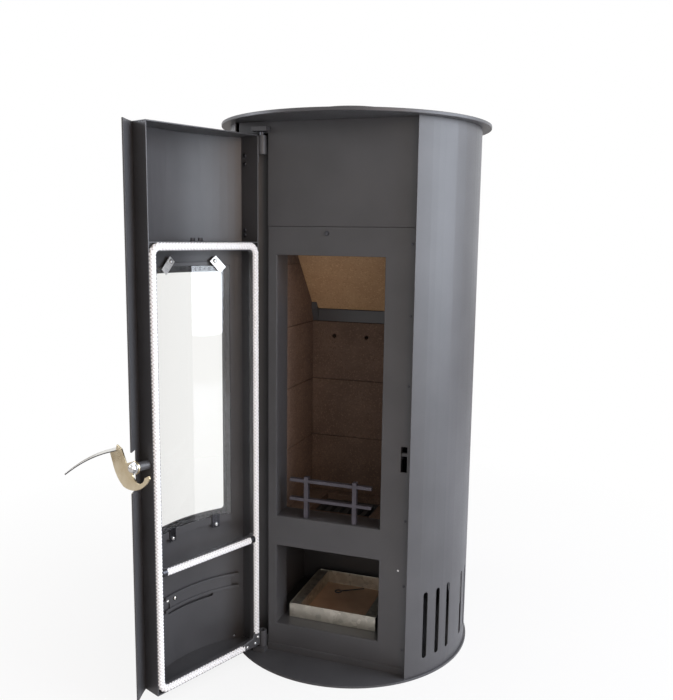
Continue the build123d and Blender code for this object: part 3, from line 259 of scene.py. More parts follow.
# The braid's height is stored on the mesh as "crown", from 0 in a groove to 1 on a strand's back.
rope_tree, rope_socket, rope_tone = base_colour(rope_fibre)
crown = add_node(rope_tree, "ShaderNodeAttribute", attribute_name="crown")
shade = add_node(rope_tree, "ShaderNodeMapRange", {
    "Value": crown.outputs["Fac"], "From Min": 0.1, "From Max": 0.55})
# Painted shade: where the crown is low, in the grooves, the tone turns grey.
painted_groove_shade = add_node(rope_tree, "ShaderNodeMix", {
    "Factor_Float": shade.outputs["Result"], "A_Color": colour("#c2c0bf"), "B_Color": rope_tone},
    data_type="RGBA")
rope_tree.links.new(painted_groove_shade.outputs[2], rope_socket)
print("rope finish made")

# %% [markdown]
# ## Dressing the CAD nodes
# Every node takes its finish here, most by their slot in the record, and a few by name where the real
# piece differs from its slot. That keeps the list short and leaves no node bare.

# %% Finishes by node
finish_by_slot = {"stove_paint": paint, "bare_steel": screw_steel, "zinc_plate": hook_zinc,
                  "firebrick": firebrick, "vermiculite": baffle_board, "rope": tape_cloth,
                  "glass": ceramic_glass, "cast_iron": cast_iron}
finish_by_node = {"ash_pan": galvanised, "log_guard": guard_steel, "guard_pegs": guard_steel,
                  "striker": paint, "slider_rails": paint, "hinge_pins": black_bolt}
for name, node in nodes.items():
    finish = finish_by_node.get(name, finish_by_slot[slot_of_node[name]])
    node.data.materials.clear()
    node.data.materials.append(finish)
print("finishes on", len(nodes), "nodes")

# %% [markdown]
# ## Softened plate edges
# A real plate is never razor sharp: its cut edge is dressed, and that narrow rounding draws a bright line
# along it. A bevel could be put on the CAD's own mesh, but that mesh is loose triangles and stays as it
# is. So a copy is merged, its flat faces are joined, and a bevel rounds each hard edge by half a
# millimetre, by less on thin sheet, and by more on bricks and on the two thick plates.

# %% Softened plates
plate_rounding = 0.0005
thin_rounding = 0.00025
thick_rounding = 0.0012
smooth_angle = math.radians(32)
merge_distance = 1e-6
flat_angle = math.radians(0.5)


def round_edges(piece, width, segments=2):
    """Bevels every edge of a piece that is sharper than the smoothing angle."""
    bevel = piece.modifiers.new("edges", "BEVEL")
    bevel.width = width
    bevel.segments = segments
    bevel.limit_method = "ANGLE"
    bevel.angle_limit = smooth_angle
    return bevel


def soften(name, rounding):
    """Copies a node's mesh, merges its doubles, joins its flat faces and rounds its edges. The copy keeps
    the node's finish and joins its body, and the node itself is hidden."""
    mesh = nodes[name].data.copy()
    work = bmesh.new()
    work.from_mesh(mesh)
    bmesh.ops.remove_doubles(work, verts=work.verts, dist=merge_distance)
    bmesh.ops.dissolve_limit(work, angle_limit=flat_angle, verts=work.verts, edges=work.edges)
    work.to_mesh(mesh)
    work.free()
    mesh.shade_smooth()
    mesh.set_sharp_from_angle(angle=smooth_angle)
    piece = bpy.data.objects.new("soft_" + name, mesh)
    scene.collection.objects.link(piece)
    bevel = round_edges(piece, rounding)
    bevel.use_clamp_overlap = False
    bevel.harden_normals = True
    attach(piece, body_of_node[name])
    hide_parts(name)
    return piece


plates = ["outer_casing", "top_plate", "base_plate", "front_panel", "upper_front_panel", "sill_strip",
          "firebox_neck", "ash_neck", "door_skin", "door_wall_hinge_side", "door_wall_free_side",
          "door_caps", "door_partition", "gasket_channel", "flue_collar", "flue_duct", "air_inlet_spigot",
          "log_guard", "ash_pan", "latch_hook", "slider_rails", "hinge_knuckles", "hinge_pins",
          "latch_stud", "lower_hinge_plate", "upper_hinge_plate", "rear_ledge", "baffle_bar", "grate",
          "heat_shield", "window_glass"]
boards = ["floor_bricks", "side_bricks_left", "side_bricks_right", "back_bricks", "baffle_plate"]
thin_sheets = ["ash_pan", "heat_shield", "air_inlet_spigot"]
thick_plates = ["front_panel", "top_plate"]
rounding_of_node = {**dict.fromkeys(plates, plate_rounding), **dict.fromkeys(thin_sheets, thin_rounding),
                    **dict.fromkeys(boards + thick_plates, thick_rounding)}
soft = {name: soften(name, width) for name, width in rounding_of_node.items()}
print("softened", len(soft), "nodes")

# %% [markdown]
# ## Pieces with two finishes
# The latch stud is bright only from the hook outward: its spacer was painted with the door. The ash
# pan's floor is stained brown by the ash, while its walls stayed bright. The pieces could be cut in two,
# but it is simpler to give some faces a second finish, told apart by where they are and how they face.

# %% Painted spacer and stained floor
door_axis = np.array(joints["air_slider_turn"]["pos_m"])
door_across = -np.array(joints["latch_pivot"]["axis"])
spacer_end = 0.1465
pan_floor_top = 0.07


def face_values(mesh, kind):
    """The centre or the normal of each face, one row of three numbers per face."""
    values = np.zeros(len(mesh.polygons) * 3)
    mesh.polygons.foreach_get(kind, values)
    return values.reshape(-1, 3)


def second_finish(mesh, finish, chosen):
    """Gives the chosen faces of a mesh a second finish."""
    mesh.materials.append(finish)
    mesh.polygons.foreach_set("material_index", chosen.astype(np.int32))


stud_mesh = soft["latch_stud"].data
on_spacer = (face_values(stud_mesh, "center") - door_axis) @ door_across < spacer_end
second_finish(stud_mesh, paint, on_spacer)

pan_mesh = soft["ash_pan"].data
faces_up = face_values(pan_mesh, "normal")[:, 2] > 0.9
on_floor = faces_up & (face_values(pan_mesh, "center")[:, 2] < pan_floor_top)
second_finish(pan_mesh, stained_sheet, on_floor)
print(int(on_spacer.sum()), "painted faces,", int(on_floor.sum()), "stained faces")

# %% [markdown]
# ## Making surfaces from arrays
# New pieces are grids of points worked out with numpy. One helper turns a grid into a mesh: neighbours in
# the grid become the corners of quads, and a direction that closes on itself wraps round. The door's
# pieces are easiest to draw on the closed door, so a second helper swings points open about the hinge.

# %% Grid and door helpers
crease_angle = smooth_angle * 1.4
hinge_place = np.array(joints["door_hinge"]["pos_m"])
door_open = math.radians(-joints["door_hinge"]["range_deg"][0])


def swing_open(points):
    """Turns closed-door points about the hinge's upright line, clockwise from above, by the open angle."""
    turn = np.array([[math.cos(door_open), math.sin(door_open), 0],
                     [-math.sin(door_open), math.cos(door_open), 0], [0, 0, 1]])
    return (np.asarray(points) - hinge_place) @ turn.T + hinge_place


def closed_direction(x, y, z=0.0):
    """A direction drawn on the closed door, swung open with it."""
    return swing_open(np.array([x, y, z]) + hinge_place) - hinge_place


def upright(flat, depth):
    """Points drawn across and up, as seen from in front, set at a depth."""
    return np.stack([flat[:, 0], np.full(len(flat), depth), flat[:, 1]], axis=-1)


def lying(flat, level):
    """Points drawn as seen from above, set at a level."""
    return np.column_stack([flat, np.full(len(flat), level)])


def grid_quads(rows, columns, wrap_rows, wrap_columns):
    """The corner numbers of each quad of a grid: a point, its neighbour along, across and both."""
    i = np.arange(rows if wrap_rows else rows - 1)
    j = np.arange(columns if wrap_columns else columns - 1)
    i, j = np.meshgrid(i, j, indexing="ij")
    next_i, next_j = (i + 1) % rows, (j + 1) % columns
    corners = [i * columns + j, i * columns + next_j, next_i * columns + next_j, next_i * columns + j]
    return np.stack([c.ravel() for c in corners], axis=1)


def make_piece(name, grids, finish, body, wrap_rows=False, crowns=None):
    """Joins grids of points into one mesh object. Each row is a closed ring, and so is each column where
    the rows wrap. Where they don't, one face closes each end."""
    points, faces, start = [], [], 0
    for grid in grids:
        rows, columns = grid.shape[:2]
        faces += (grid_quads(rows, columns, wrap_rows, True) + start).tolist()
        if not wrap_rows:
            faces.append((np.arange(columns)[::-1] + start).tolist())
            faces.append((np.arange(columns) + start + (rows - 1) * columns).tolist())
        points.append(grid.reshape(-1, 3))
        start += rows * columns
    mesh = bpy.data.meshes.new(name)
    mesh.from_pydata(np.concatenate(points).tolist(), [], faces)
    if crowns is not None:
        height = mesh.attributes.new("crown", "FLOAT", "POINT")
        height.data.foreach_set("value", np.concatenate([c.ravel() for c in crowns]).astype(np.float32))
    work = bmesh.new()
    work.from_mesh(mesh)
    bmesh.ops.recalc_face_normals(work, faces=work.faces)
    work.to_mesh(mesh)
    work.free()
    mesh.shade_smooth()
    mesh.set_sharp_from_angle(angle=crease_angle)
    mesh.materials.append(finish)
    piece = bpy.data.objects.new(name, mesh)
    scene.collection.objects.link(piece)
    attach(piece, body)
    return piece


print("grid helpers ready")

# %% [markdown]
# ## The top course of the side linings
# Above the last full brick a cut strip closes the lining up to the baffle, on both sides. One block would
# run into the bar that carries the baffle, so each strip is three blocks that leave the bar free.

# %% Cut strips over the side bricks
lining_sides = [(-0.120, -0.095), (0.107, 0.132)]
# Each block: its near and far ends, and its lower and upper levels.
strip_blocks = [(-0.1067, 0.0297, 0.7440, 0.7636), (-0.1067, -0.0773, 0.7638, 0.7895),
                (-0.0685, 0.0297, 0.7638, 0.7895)]
strip_grids = []
for left_x, right_x in lining_sides:
    for near_y, far_y, low_z, high_z in strip_blocks:
        corners = np.array([(left_x, near_y), (right_x, near_y), (right_x, far_y), (left_x, far_y)])
        strip_grids.append(np.stack([lying(corners, low_z), lying(corners, high_z)]))
make_piece("cut_brick_strips", strip_grids, firebrick, "stove")
print(len(strip_grids), "brick strips")

# %% [markdown]
# ## Tubes and loops
# Ropes, wires and rolled rims are all tubes: rings of points carried along a line. Blender's curves can
# be given a thickness too, but their rings can't take a braid, so one helper makes the rings here. The
# rope and the pan's rim both follow a rectangle with rounded corners.

# %% Tube and loop helpers
ring_points = 42


def tube(middles, outward, third, radius, around=ring_points):
    """Rings round a line of points: the radius times a cosine along each point's outward direction, plus the
    radius times a sine along a third direction."""
    angle = np.arange(around) * 2 * np.pi / around
    radius = np.broadcast_to(radius, (len(middles), around))[..., None]
    outward = np.asarray(outward)[:, None, :]
    return (np.asarray(middles)[:, None, :] + radius * np.cos(angle)[:, None] * outward
            + radius * np.sin(angle)[:, None] * np.asarray(third))


def rounded_loop(low, high, corner, spacing):
    """Points and outward directions round a rectangle with rounded corners, evenly spaced, and the way round.
    The four straight sides and four quarter circles are laid end to end, and each point falls on one."""
    width, height = high - low - 2 * corner
    arc = math.pi / 2 * corner
    ends = np.concatenate([[0], np.cumsum([width, arc, height, arc] * 2)])
    count = int(ends[-1] / spacing)
    s = np.arange(count) * ends[-1] / count
    part = np.searchsorted(ends, s, side="right") - 1
    along = s - ends[part]
    side = part // 2
    on_arc = part[:, None] % 2 == 1
    along_dirs = np.array([[1, 0], [0, 1], [-1, 0], [0, -1]])
    out_dirs = np.array([[0, -1], [1, 0], [0, 1], [-1, 0]])
    corners = np.array([[low[0], low[1]], [high[0], low[1]], [high[0], high[1]], [low[0], high[1]]])
    centres = corners + corner * np.array([[1, 1], [-1, 1], [-1, -1], [1, -1]])
    bend = np.where(on_arc, along[:, None] / corner, 0.0)
    outward = out_dirs[side] * np.cos(bend) + along_dirs[side] * np.sin(bend)
    middle = np.where(on_arc, centres[(side + 1) % 4], centres[side] + along_dirs[side] * along[:, None])
    return middle + outward * corner, outward, ends[-1]


print("tube and loop helpers ready")

# %% [markdown]
# ## The rope seal
# A braided rope is two sets of strands that wind round it in opposite directions and pass over and under
# each other. Strands modelled one by one would take many more faces, so the braid is a height on a tube.
# A strand's number is its share of a turn plus, or minus, its share of a pitch along the rope. Each
# strand is a rounded ridge, and where two cross, one stands high while the other dips. That height lifts
# the tube's radius, and is kept on the mesh as the crown. The rope lies in its channel round the door's
# window, and years of closing have pressed it wider than it is deep.

# %% Braid
rope_radius = 0.0055
rope_depth = -0.1638
rope_spread = 1.24
ring_spacing = 0.001
strands = 4
braid_pitch = 0.0248
groove_depth = 0.0015
crossing_lift, crossing_dip = 0.55, 0.45


def braid_height(around, along):
    """How high the braid stands, 0 to 1. Each set of strands is a row of ridges, shaped as a sine's half
    waves, which rise where the strand passes over and sink where it passes under; the higher one shows."""
    first, second = strands * (around + along), strands * (around - along)
    first_sign = np.where(np.floor(first) % 2 == 0, 1.0, -1.0)
    second_sign = np.where(np.floor(second) % 2 == 0, 1.0, -1.0)
    over = crossing_lift + crossing_dip * first_sign * np.sin(np.pi * second)
    under = crossing_lift - crossing_dip * second_sign * np.sin(np.pi * first)
    ridges = np.maximum(np.abs(np.sin(np.pi * first)) * over, np.abs(np.sin(np.pi * second)) * under)
    return np.clip(ridges, 0, 1)


def rope_rings(middles, outward, radius):
    """Rings of a tube in the rope's plane on the closed door, spread wider than deep, swung open."""
    spread = upright(outward, 0.0) * rope_spread
    return swing_open(tube(upright(middles, rope_depth), spread, (0, 1, 0), radius))


def braided_rope(middles, outward, distance):
    """Rings of a braided tube, and the height of the braid at each point."""
    around = np.arange(ring_points) / ring_points
    height = braid_height(around[None, :], distance[:, None] / braid_pitch)
    return rope_rings(middles, outward, rope_radius - groove_depth * (1 - height)), height


print("one strand every", round(1000 * braid_pitch / strands, 1), "mm")

# %% [markdown]
# ## Both ropes
# One rope runs from the corner clamp all the way round the window and back to it, so it is an open run
# whose two ends hide under the clamp. A second one crosses under the window, with a dark sleeve on each
# end that holds its fibres together.

# %% Ropes and sleeves
rope_low = np.array([-0.1039, 0.0256])
rope_high = np.array([0.1159, 0.7774])
rope_corner = 0.014
clamp_left, clamp_right = -0.1113, -0.068
clamp_low, clamp_high = 0.0188, 0.048
rope_tuck = 0.004

loop, loop_out, loop_length = rounded_loop(rope_low, rope_high, rope_corner, ring_spacing)
under_clamp = (loop[:, 0] < clamp_right - rope_tuck) & (loop[:, 1] < clamp_high - rope_tuck)
first = np.flatnonzero(under_clamp & ~np.roll(under_clamp, -1))[0] + 1
order = np.roll(np.arange(len(loop)), -first)[:int(np.sum(~under_clamp))]
loop_rings, loop_crown = braided_rope(loop[order], loop_out[order], np.arange(len(order)) * ring_spacing)
rope_piece = make_piece("rope_round_window", [loop_rings], rope_fibre, "door", crowns=[loop_crown])
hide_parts("door_rope")

cross_level = 0.2336
cross_inset = 0.008
cross_s = np.arange(rope_low[0] + cross_inset, rope_high[0] - cross_inset, ring_spacing)
cross_middles = np.stack([cross_s, np.full_like(cross_s, cross_level)], axis=1)
cross_out = np.tile([0.0, 1.0], (len(cross_s), 1))
cross_rings, cross_crown = braided_rope(cross_middles, cross_out, cross_s)
cross_piece = make_piece("rope_across", [cross_rings], rope_fibre, "door", crowns=[cross_crown])
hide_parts("cross_rope")

sleeve_wall = 0.0001
sleeve_length = 0.009
sleeve_inset = rope_radius + 0.0005
sleeves = []
for start in (rope_low[0] + sleeve_inset, rope_high[0] - sleeve_inset - sleeve_length):
    sleeve_ends = np.array([[start, cross_level], [start + sleeve_length, cross_level]])
    sleeves.append(rope_rings(sleeve_ends, cross_out[:2], rope_radius + sleeve_wall))
make_piece("rope_end_sleeves", sleeves, black_bolt, "door")
print("loop", round(loop_length, 3), "m, rope round the window", len(order), "rings, across", len(cross_s))

# %% [markdown]
# ## Turned shapes
# Screw heads, rivets, the knob and the nut's dome are all turned on a lathe, or stamped to look so: a
# profile of radius against height, carried round an axis. Blender's Screw modifier does the same for one
# profile at a time, but a function sets many heads at once, each on its own axis.

# %% Turned helpers


def turned(places, axes, profile, around=24):
    """Rings of points round each place: the profile's radius times a unit circle square to the axis, at the
    profile's height along the axis."""
    angle = np.arange(around) * 2 * np.pi / around
    grids = []
    for place, axis in zip(np.asarray(places, float), np.asarray(axes, float)):
        axis = axis / np.linalg.norm(axis)
        side = np.cross(axis, [0, 0, 1] if abs(axis[2]) < 0.9 else [1, 0, 0])
        side = side / np.linalg.norm(side)
        other = np.cross(axis, side)
        ring = np.cos(angle)[:, None] * side + np.sin(angle)[:, None] * other
        radius, height = np.asarray(profile).T
        grids.append(place + height[:, None, None] * axis + radius[:, None, None] * ring)
    return grids


def head_profile(radius, height):
    """A low domed head with a socket: from the seat up the rim, over the dome, and into the recess."""
    shares = np.array([(1.0, 0.0), (1.0, 0.25), (0.94, 0.55), (0.8, 0.8), (0.6, 0.95), (0.42, 1.0),
                       (0.36, 0.97), (0.34, 0.45), (0.05, 0.4)])
    return shares * [radius, height]


# A hex bolt with its washer, and a smooth dome, both as shares of their radius and height.
bolt_shares = np.array([(1.15, 0.0), (1.15, 0.15), (1.0, 0.2), (1.0, 0.85), (0.9, 1.0), (0.05, 1.0)])
dome_shares = np.array([(1.0, 0.0), (1.0, 0.2), (0.93, 0.5), (0.76, 0.76), (0.5, 0.93), (0.2, 0.99),
                        (0.02, 1.0)])
print("turned helpers ready")

# %% [markdown]
# ## The door's dark bolts
# Four screws sit in the door's wall on the hinge side, and two hex bolts stand on the partition over the
# window. They are blackened, so only their rims catch light, and turned heads show that better than dots
# in the paint would.

# %% Dark door bolts
screw_radius = 0.004
screw_height = 0.0023
wall_places = [(-0.1095, -0.196, level) for level in (0.936, 0.921, 0.805, 0.796)]
heads = turned(swing_open(wall_places), [closed_direction(1, 0)] * len(wall_places),
               head_profile(screw_radius, screw_height))

partition_bolt_height = 0.006
bolt_places = swing_open([(-0.002, -0.190, 0.785), (0.014, -0.190, 0.785)])
heads += turned(bolt_places, [(0, 0, 1)] * len(bolt_places),
                bolt_shares * [screw_radius, partition_bolt_height], around=6)
make_piece("dark_door_bolts", heads, black_bolt, "door")
print(len(heads), "dark bolts")

# %% [markdown]
# ## The glass clips
# Four plates press the window against its tape, each held by one domed screw. The upper two are bright
# and spread down and outwards; the lower two are black and stand straight up. A plate is drawn flat and
# then rolled onto the glass's circle, because a flat one would cut into the curved pane.

# %% Glass clips
# Each clip: where its screw sits across the door and up, which way it leans in degrees, and its length.
upper_clips_list = [(0.036, 0.7505, 42.0, 0.030), (-0.057, 0.7505, -42.0, 0.028)]
lower_clips_list = [(0.043, 0.2612, 180.0, 0.024), (-0.054, 0.2612, 180.0, 0.024)]
clip_radius = 0.2252
clip_thickness = 0.0018
clip_width = 0.015
clip_overhang = 0.006
clip_rounding = 0.0004
clip_screw_height = screw_height * 1.4
foot_radius = 0.005
foot_depth = 0.0058


def clip_plate(across, level, lean, length):
    """A plate from behind its screw to its tip over the glass. Each corner is turned by the lean round the
    screw, and its depth is where the circle of the plate's inner, then outer, radius passes."""
    lean = math.radians(lean)
    along = np.array([0, 0, length, length]) - clip_overhang
    sideways = np.array([-1, 1, 1, -1]) * clip_width / 2
    x = across + along * math.sin(lean) + sideways * math.cos(lean)
    z = level - along * math.cos(lean) + sideways * math.sin(lean)
    radii = np.array([[clip_radius], [clip_radius + clip_thickness]])
    y = -np.sqrt(radii ** 2 - x ** 2)
    return swing_open(np.stack(np.broadcast_arrays(x, y, z), axis=-1))


upper_clips = make_piece("upper_clip_plates", [clip_plate(*clip) for clip in upper_clips_list], clip_steel,
                         "door")
lower_clips = make_piece("lower_clip_plates", [clip_plate(*clip) for clip in lower_clips_list], black_bolt,
                         "door")
round_edges(upper_clips, clip_rounding)
round_edges(lower_clips, clip_rounding)
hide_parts("glass_clips")

# A screw's head lies on its plate, and its foot reaches from the plate's back towards the door's skin.
clip_across, clip_level = np.array(upper_clips_list + lower_clips_list)[:, :2].T
clip_seats = np.column_stack([clip_across, -np.sqrt(clip_radius ** 2 - clip_across ** 2), clip_level])
plate_share = 1 + clip_thickness / clip_radius
clip_feet = clip_seats * [plate_share, plate_share, 1]
inward = [closed_direction(-x, -y) for x, y, _ in clip_seats]
foot_profile = [(foot_radius, 0.0), (foot_radius, -foot_depth), (0.0001, -foot_depth)]
clip_heads = turned(swing_open(clip_seats), inward, head_profile(screw_radius, clip_screw_height))
clip_heads += turned(swing_open(clip_feet), inward, foot_profile)
screws_piece = make_piece("domed_clip_screws", clip_heads, screw_steel, "door")
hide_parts("door_screws")
print(len(clip_seats), "clips with screws")

# %% [markdown]
# ## The front panel's screws
# A row of blackened heads runs down the panel's right edge. The real ones are spaced a little unevenly;
# here they are even, as in the CAD. The notch for the hook takes the fourth place, so that one is left
# out. A hex bolt sits over the opening, and one newer screw stayed bright. The heads could be painted
# spots, but a turned head has a rim that catches the light.

# %% Panel screws
panel_face = -0.158
row_x = 0.154
row_levels = np.delete(np.linspace(0.0525, 0.785, 7), 3)
row_places = [(row_x, panel_face, level) for level in row_levels]
small_head_height = 0.0012
rivets = turned(row_places, [(0, -1, 0)] * len(row_places), head_profile(0.0025, small_head_height))
rivets += turned([(0.0, panel_face, 0.801)], [(0, -1, 0)], bolt_shares * [0.0043, 0.003], around=6)
rivets_piece = make_piece("panel_screw_heads", rivets, black_bolt, "stove")
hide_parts("panel_rivets")
bright_screw = turned([(0.1429, panel_face, 0.2031)], [(0, -1, 0)], head_profile(0.0022, small_head_height))
make_piece("bright_panel_screw", bright_screw, screw_steel, "stove")
print(len(rivets), "dark heads and a bright one")

# %% [markdown]
# ## The latch's nut
# The pivot ends in a cap nut. The CAD gives its hexagon, and only the dome is added here, as a turned
# shape on the nut's end, with more points round it because it is polished and its outline shows.

# %% Latch nut's dome
stud_end = swing_open([(0.1568, -0.175, 0.424)])
nut_dome = turned(stud_end, [closed_direction(1, 0)], dome_shares * [0.0066, 0.0038], 32)
make_piece("latch_nut_dome", nut_dome, bright_steel, "door")
print("latch nut's dome made")

# %% [markdown]
# ## The air knob
# The slider is moved by a small turned knob outside the door: a flange, a waist to grip behind, and a
# rounded front. Its stem passes through the skin, and a cap nut holds it on the inside. The three are
# profiles on the same axis, so they stay in line.

# %% Turned air knob
slider_radius = 0.2327
knob_across = 0.0386
knob_level = [0, 0, 0.145]
knob_face = 0.2366
knob_nut_face = 0.22965
knob_turn = math.asin(knob_across / slider_radius)
knob_axis = np.array([math.sin(knob_turn), -math.cos(knob_turn), 0])
knob_outward = closed_direction(*knob_axis)
knob_place = swing_open([knob_axis * knob_face + knob_level])
knob_nut_place = swing_open([knob_axis * knob_nut_face + knob_level])
knob_shares = np.array([(0.3, -0.35), (0.3, 0.0), (0.75, 0.02), (0.82, 0.08), (0.7, 0.2), (0.62, 0.35),
                        (0.7, 0.5), (0.9, 0.62), (1.0, 0.72), (1.0, 0.86), (0.92, 0.95), (0.7, 1.0),
                        (0.05, 1.0)])
knob_stem = [(0.0024, -0.0072), (0.0024, 0.001)]
knob_grids = turned(knob_place, [knob_outward], knob_shares * [0.008, 0.014], 32)
knob_grids += turned(knob_place, [knob_outward], knob_stem, 16)
knob_grids += turned(knob_nut_place, [-knob_outward], dome_shares * [0.0046, 0.004], 24)
knob = make_piece("turned_air_knob", knob_grids, bright_steel, "slider")
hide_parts("air_knob")
print("knob of", len(knob_grids), "turned forms")

# %% [markdown]
# ## The air slots' deflector and slider
# Outside the lower door's air slots sits a thin rolled plate, held a few millimetres off the skin on
# little studs. It is a guess: the photograph shows no light through the slots, and air can enter behind
# the plate's edges. The slider behind the skin is a plain strip, rolled in the same way. Each could be
# bent with a modifier, but a section carried along an arc gives the exact radius.

# %% Rolled deflector and slider
deflector_radius = 0.2405
deflector_sheet = 0.0015


def rolled_plate(low_x, high_x, low_z, high_z, radius, sheet, steps=40):
    """A rolled plate's section, carried along the turn: four corners at two radii and two levels per step."""
    turn = np.linspace(math.asin(low_x / radius), math.asin(high_x / radius), steps)
    radii = np.array([0, 1, 1, 0]) * sheet + radius
    levels = np.array([low_z, low_z, high_z, high_z])
    x = np.sin(turn)[:, None] * radii
    y = -np.cos(turn)[:, None] * radii
    return swing_open(np.stack(np.broadcast_arrays(x, y, levels), axis=-1))


deflector_parts = [(-0.096, 0.060, 0.1115, 0.1305), (-0.096, 0.017, 0.1307, 0.1545)]
deflector_plates = [rolled_plate(*part, deflector_radius, deflector_sheet) for part in deflector_parts]
make_piece("air_deflector", deflector_plates, paint, "door")

stud_seat_radius = 0.236
stud_profile = [(0.003, -0.0002), (0.003, 0.0046)]
stud_turns = np.arcsin(np.array([-0.088, 0.010, 0.054]) / deflector_radius)
stud_levels = (0.149, 0.149, 0.1225)
stud_places = np.column_stack([stud_seat_radius * np.sin(stud_turns), -stud_seat_radius * np.cos(stud_turns),
                               stud_levels])
stud_axes = [closed_direction(math.sin(a), -math.cos(a)) for a in stud_turns]
make_piece("deflector_studs", turned(swing_open(stud_places), stud_axes, stud_profile), paint, "door")

slider_plate = rolled_plate(-0.086, 0.050, 0.128, 0.152, 0.2297, 0.003)
slider_strip = make_piece("plain_air_slider", [slider_plate], paint, "slider")
round_edges(slider_strip, 0.0008)
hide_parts("air_slider")
print("deflector of", len(deflector_parts), "plates on", len(stud_places), "studs, and the slider")

# %% [markdown]
# ## The handle
# The latch's handle is one strip of polished steel, bent to a gentle bow, with rounded long edges and a
# rounded tip. A bent box would do from afar, but a mirror shows every facet. So its cross-section is a
# flattened superellipse, which is a rectangle with soft corners, carried along the bow; near the tip its
# width follows a quarter ellipse down to a small end. Its two cut edges are dark, a painted dark reflection.

# %% Bowed handle strip
handle_root = np.array([-0.295204, -0.384282, 0.4407])
handle_out = np.array([-0.94148, -0.33709, 0.0])
handle_side = np.array([-0.33709, 0.94148, 0.0])
handle_up = np.array([0.0, 0.0, 1.0])
handle_width = 0.022
handle_thickness = 0.0025
handle_reach = 0.077
handle_drop = 0.041
handle_bow = 0.0056
tab_reach = 0.010
tab_rise = 0.0026
tip_length = 0.012
tip_narrowing = 0.55
corner_softness = 0.35


def bowed_strip(stations=72, around=28):
    """Rings along the strip. Up to the root it runs straight from the tab; beyond it the height falls
    evenly, plus a bow that is a parabola, zero at both ends and fullest in the middle."""
    out = np.concatenate([np.linspace(-tab_reach, -0.0005, 8), np.linspace(0, handle_reach, stations)])
    share = np.clip(out / handle_reach, 0, 1)
    fall = -handle_drop * share + 4 * handle_bow * share * (1 - share)
    rise = np.where(out < 0, -out / tab_reach * tab_rise, fall) - handle_thickness / 2
    slope = np.gradient(rise, out)
    normal = np.stack([-slope, np.ones_like(slope)], axis=1) / np.sqrt(1 + slope ** 2)[:, None]
    near_tip = np.clip((out - (handle_reach - tip_length)) / tip_length, 0, 0.995)
    half = handle_width / 2 * (1 - tip_narrowing * (1 - np.sqrt(1 - near_tip ** 2)))
    angle = np.arange(around) * 2 * np.pi / around
    across = np.sign(np.cos(angle)) * np.abs(np.cos(angle)) ** corner_softness
    thick = np.sign(np.sin(angle)) * np.abs(np.sin(angle)) ** corner_softness * handle_thickness / 2
    middle = handle_root + out[:, None] * handle_out + rise[:, None] * handle_up
    lift = normal[:, 0, None] * handle_out + normal[:, 1, None] * handle_up
    return (middle[:, None, :] + half[:, None, None] * across[None, :, None] * handle_side
            + thick[None, :, None] * lift[:, None, :])


handle_grid = bowed_strip()
handle = make_piece("bowed_handle_strip", [handle_grid], bright_steel, "latch")
# The cut edges, the columns of quads at the strip's far left and right, take the dark finish as a painted
# dark reflection. Its two end faces stay bright.
rows, columns = handle_grid.shape[:2]
column = np.tile(np.arange(columns), rows - 1)
dark_reflection_edge = np.concatenate([np.isin((column + 1) % (columns // 2), (0, 1)), [False, False]])
second_finish(handle.data, black_bolt, dark_reflection_edge)
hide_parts("latch_handle")
print("handle", len(handle.data.vertices), "points")

# %% [markdown]
# ## The corner clamp
# At the door's lower hinge corner the rope's two ends meet under a pressed corner plate, which holds them
# down with three bright screws. It is an L outline with a filled inner corner, given a thickness as two
# rings of points, and a wide bevel, because pressing leaves its edges round.

# %% Corner clamp
clamp_face = -0.1604
clamp_back = -0.1650
clamp_arm = 0.014
clamp_fill = 0.004
clamp_outline = np.array([(clamp_left, clamp_low), (clamp_right, clamp_low),
                          (clamp_right, clamp_low + clamp_arm),
                          (clamp_left + clamp_arm + clamp_fill, clamp_low + clamp_arm + clamp_fill),
                          (clamp_left + clamp_arm, clamp_high), (clamp_left, clamp_high)])
clamp_rings = np.stack([upright(clamp_outline, clamp_face), upright(clamp_outline, clamp_back)])
clamp = make_piece("rope_corner_clamp", [swing_open(clamp_rings)], paint, "door")
round_edges(clamp, 0.0012, segments=3)

clamp_screw_flat = np.array([(-0.1052, 0.0365), (-0.0985, 0.0262), (-0.0785, 0.0255)])
clamp_screw_places = swing_open(upright(clamp_screw_flat, clamp_face))
clamp_screws = turned(clamp_screw_places, [closed_direction(0, 1)] * 3, head_profile(0.0033, 0.0021))
make_piece("clamp_screws", clamp_screws, screw_steel, "door")
print("clamp with", len(clamp_screws), "screws")

# %% [markdown]
# ## The ash pan's rim
# The pan's upper edge is turned over to a small bead, which stiffens thin sheet. The CAD has a plain
# edge, so the bead is a closed tube laid round it, and it travels with the pan.

# %% Pan rim
rim_low, rim_high = np.array([-0.0805, -0.1245]), np.array([0.0925, 0.0425])
rim_corner = 0.006
rim_spacing = 0.002
rim_radius = 0.0013
rim_level = 0.0873
rim_line, rim_out, rim_length = rounded_loop(rim_low, rim_high, rim_corner, rim_spacing)
rim = tube(lying(rim_line, rim_level), lying(rim_out, 0.0), (0, 0, 1), rim_radius, around=12)
make_piece("pan_rim_bead", [rim], galvanised, "pan", wrap_rows=True)
print("pan rim", round(rim_length, 3), "m")

# %% [markdown]
# ## The wire in the pan
# On the pan's floor lies a bent wire, an eye with a straight shank, with which the grate or the pan is
# pulled. It is a tube along a circle that runs out into a line, and it travels with the pan.

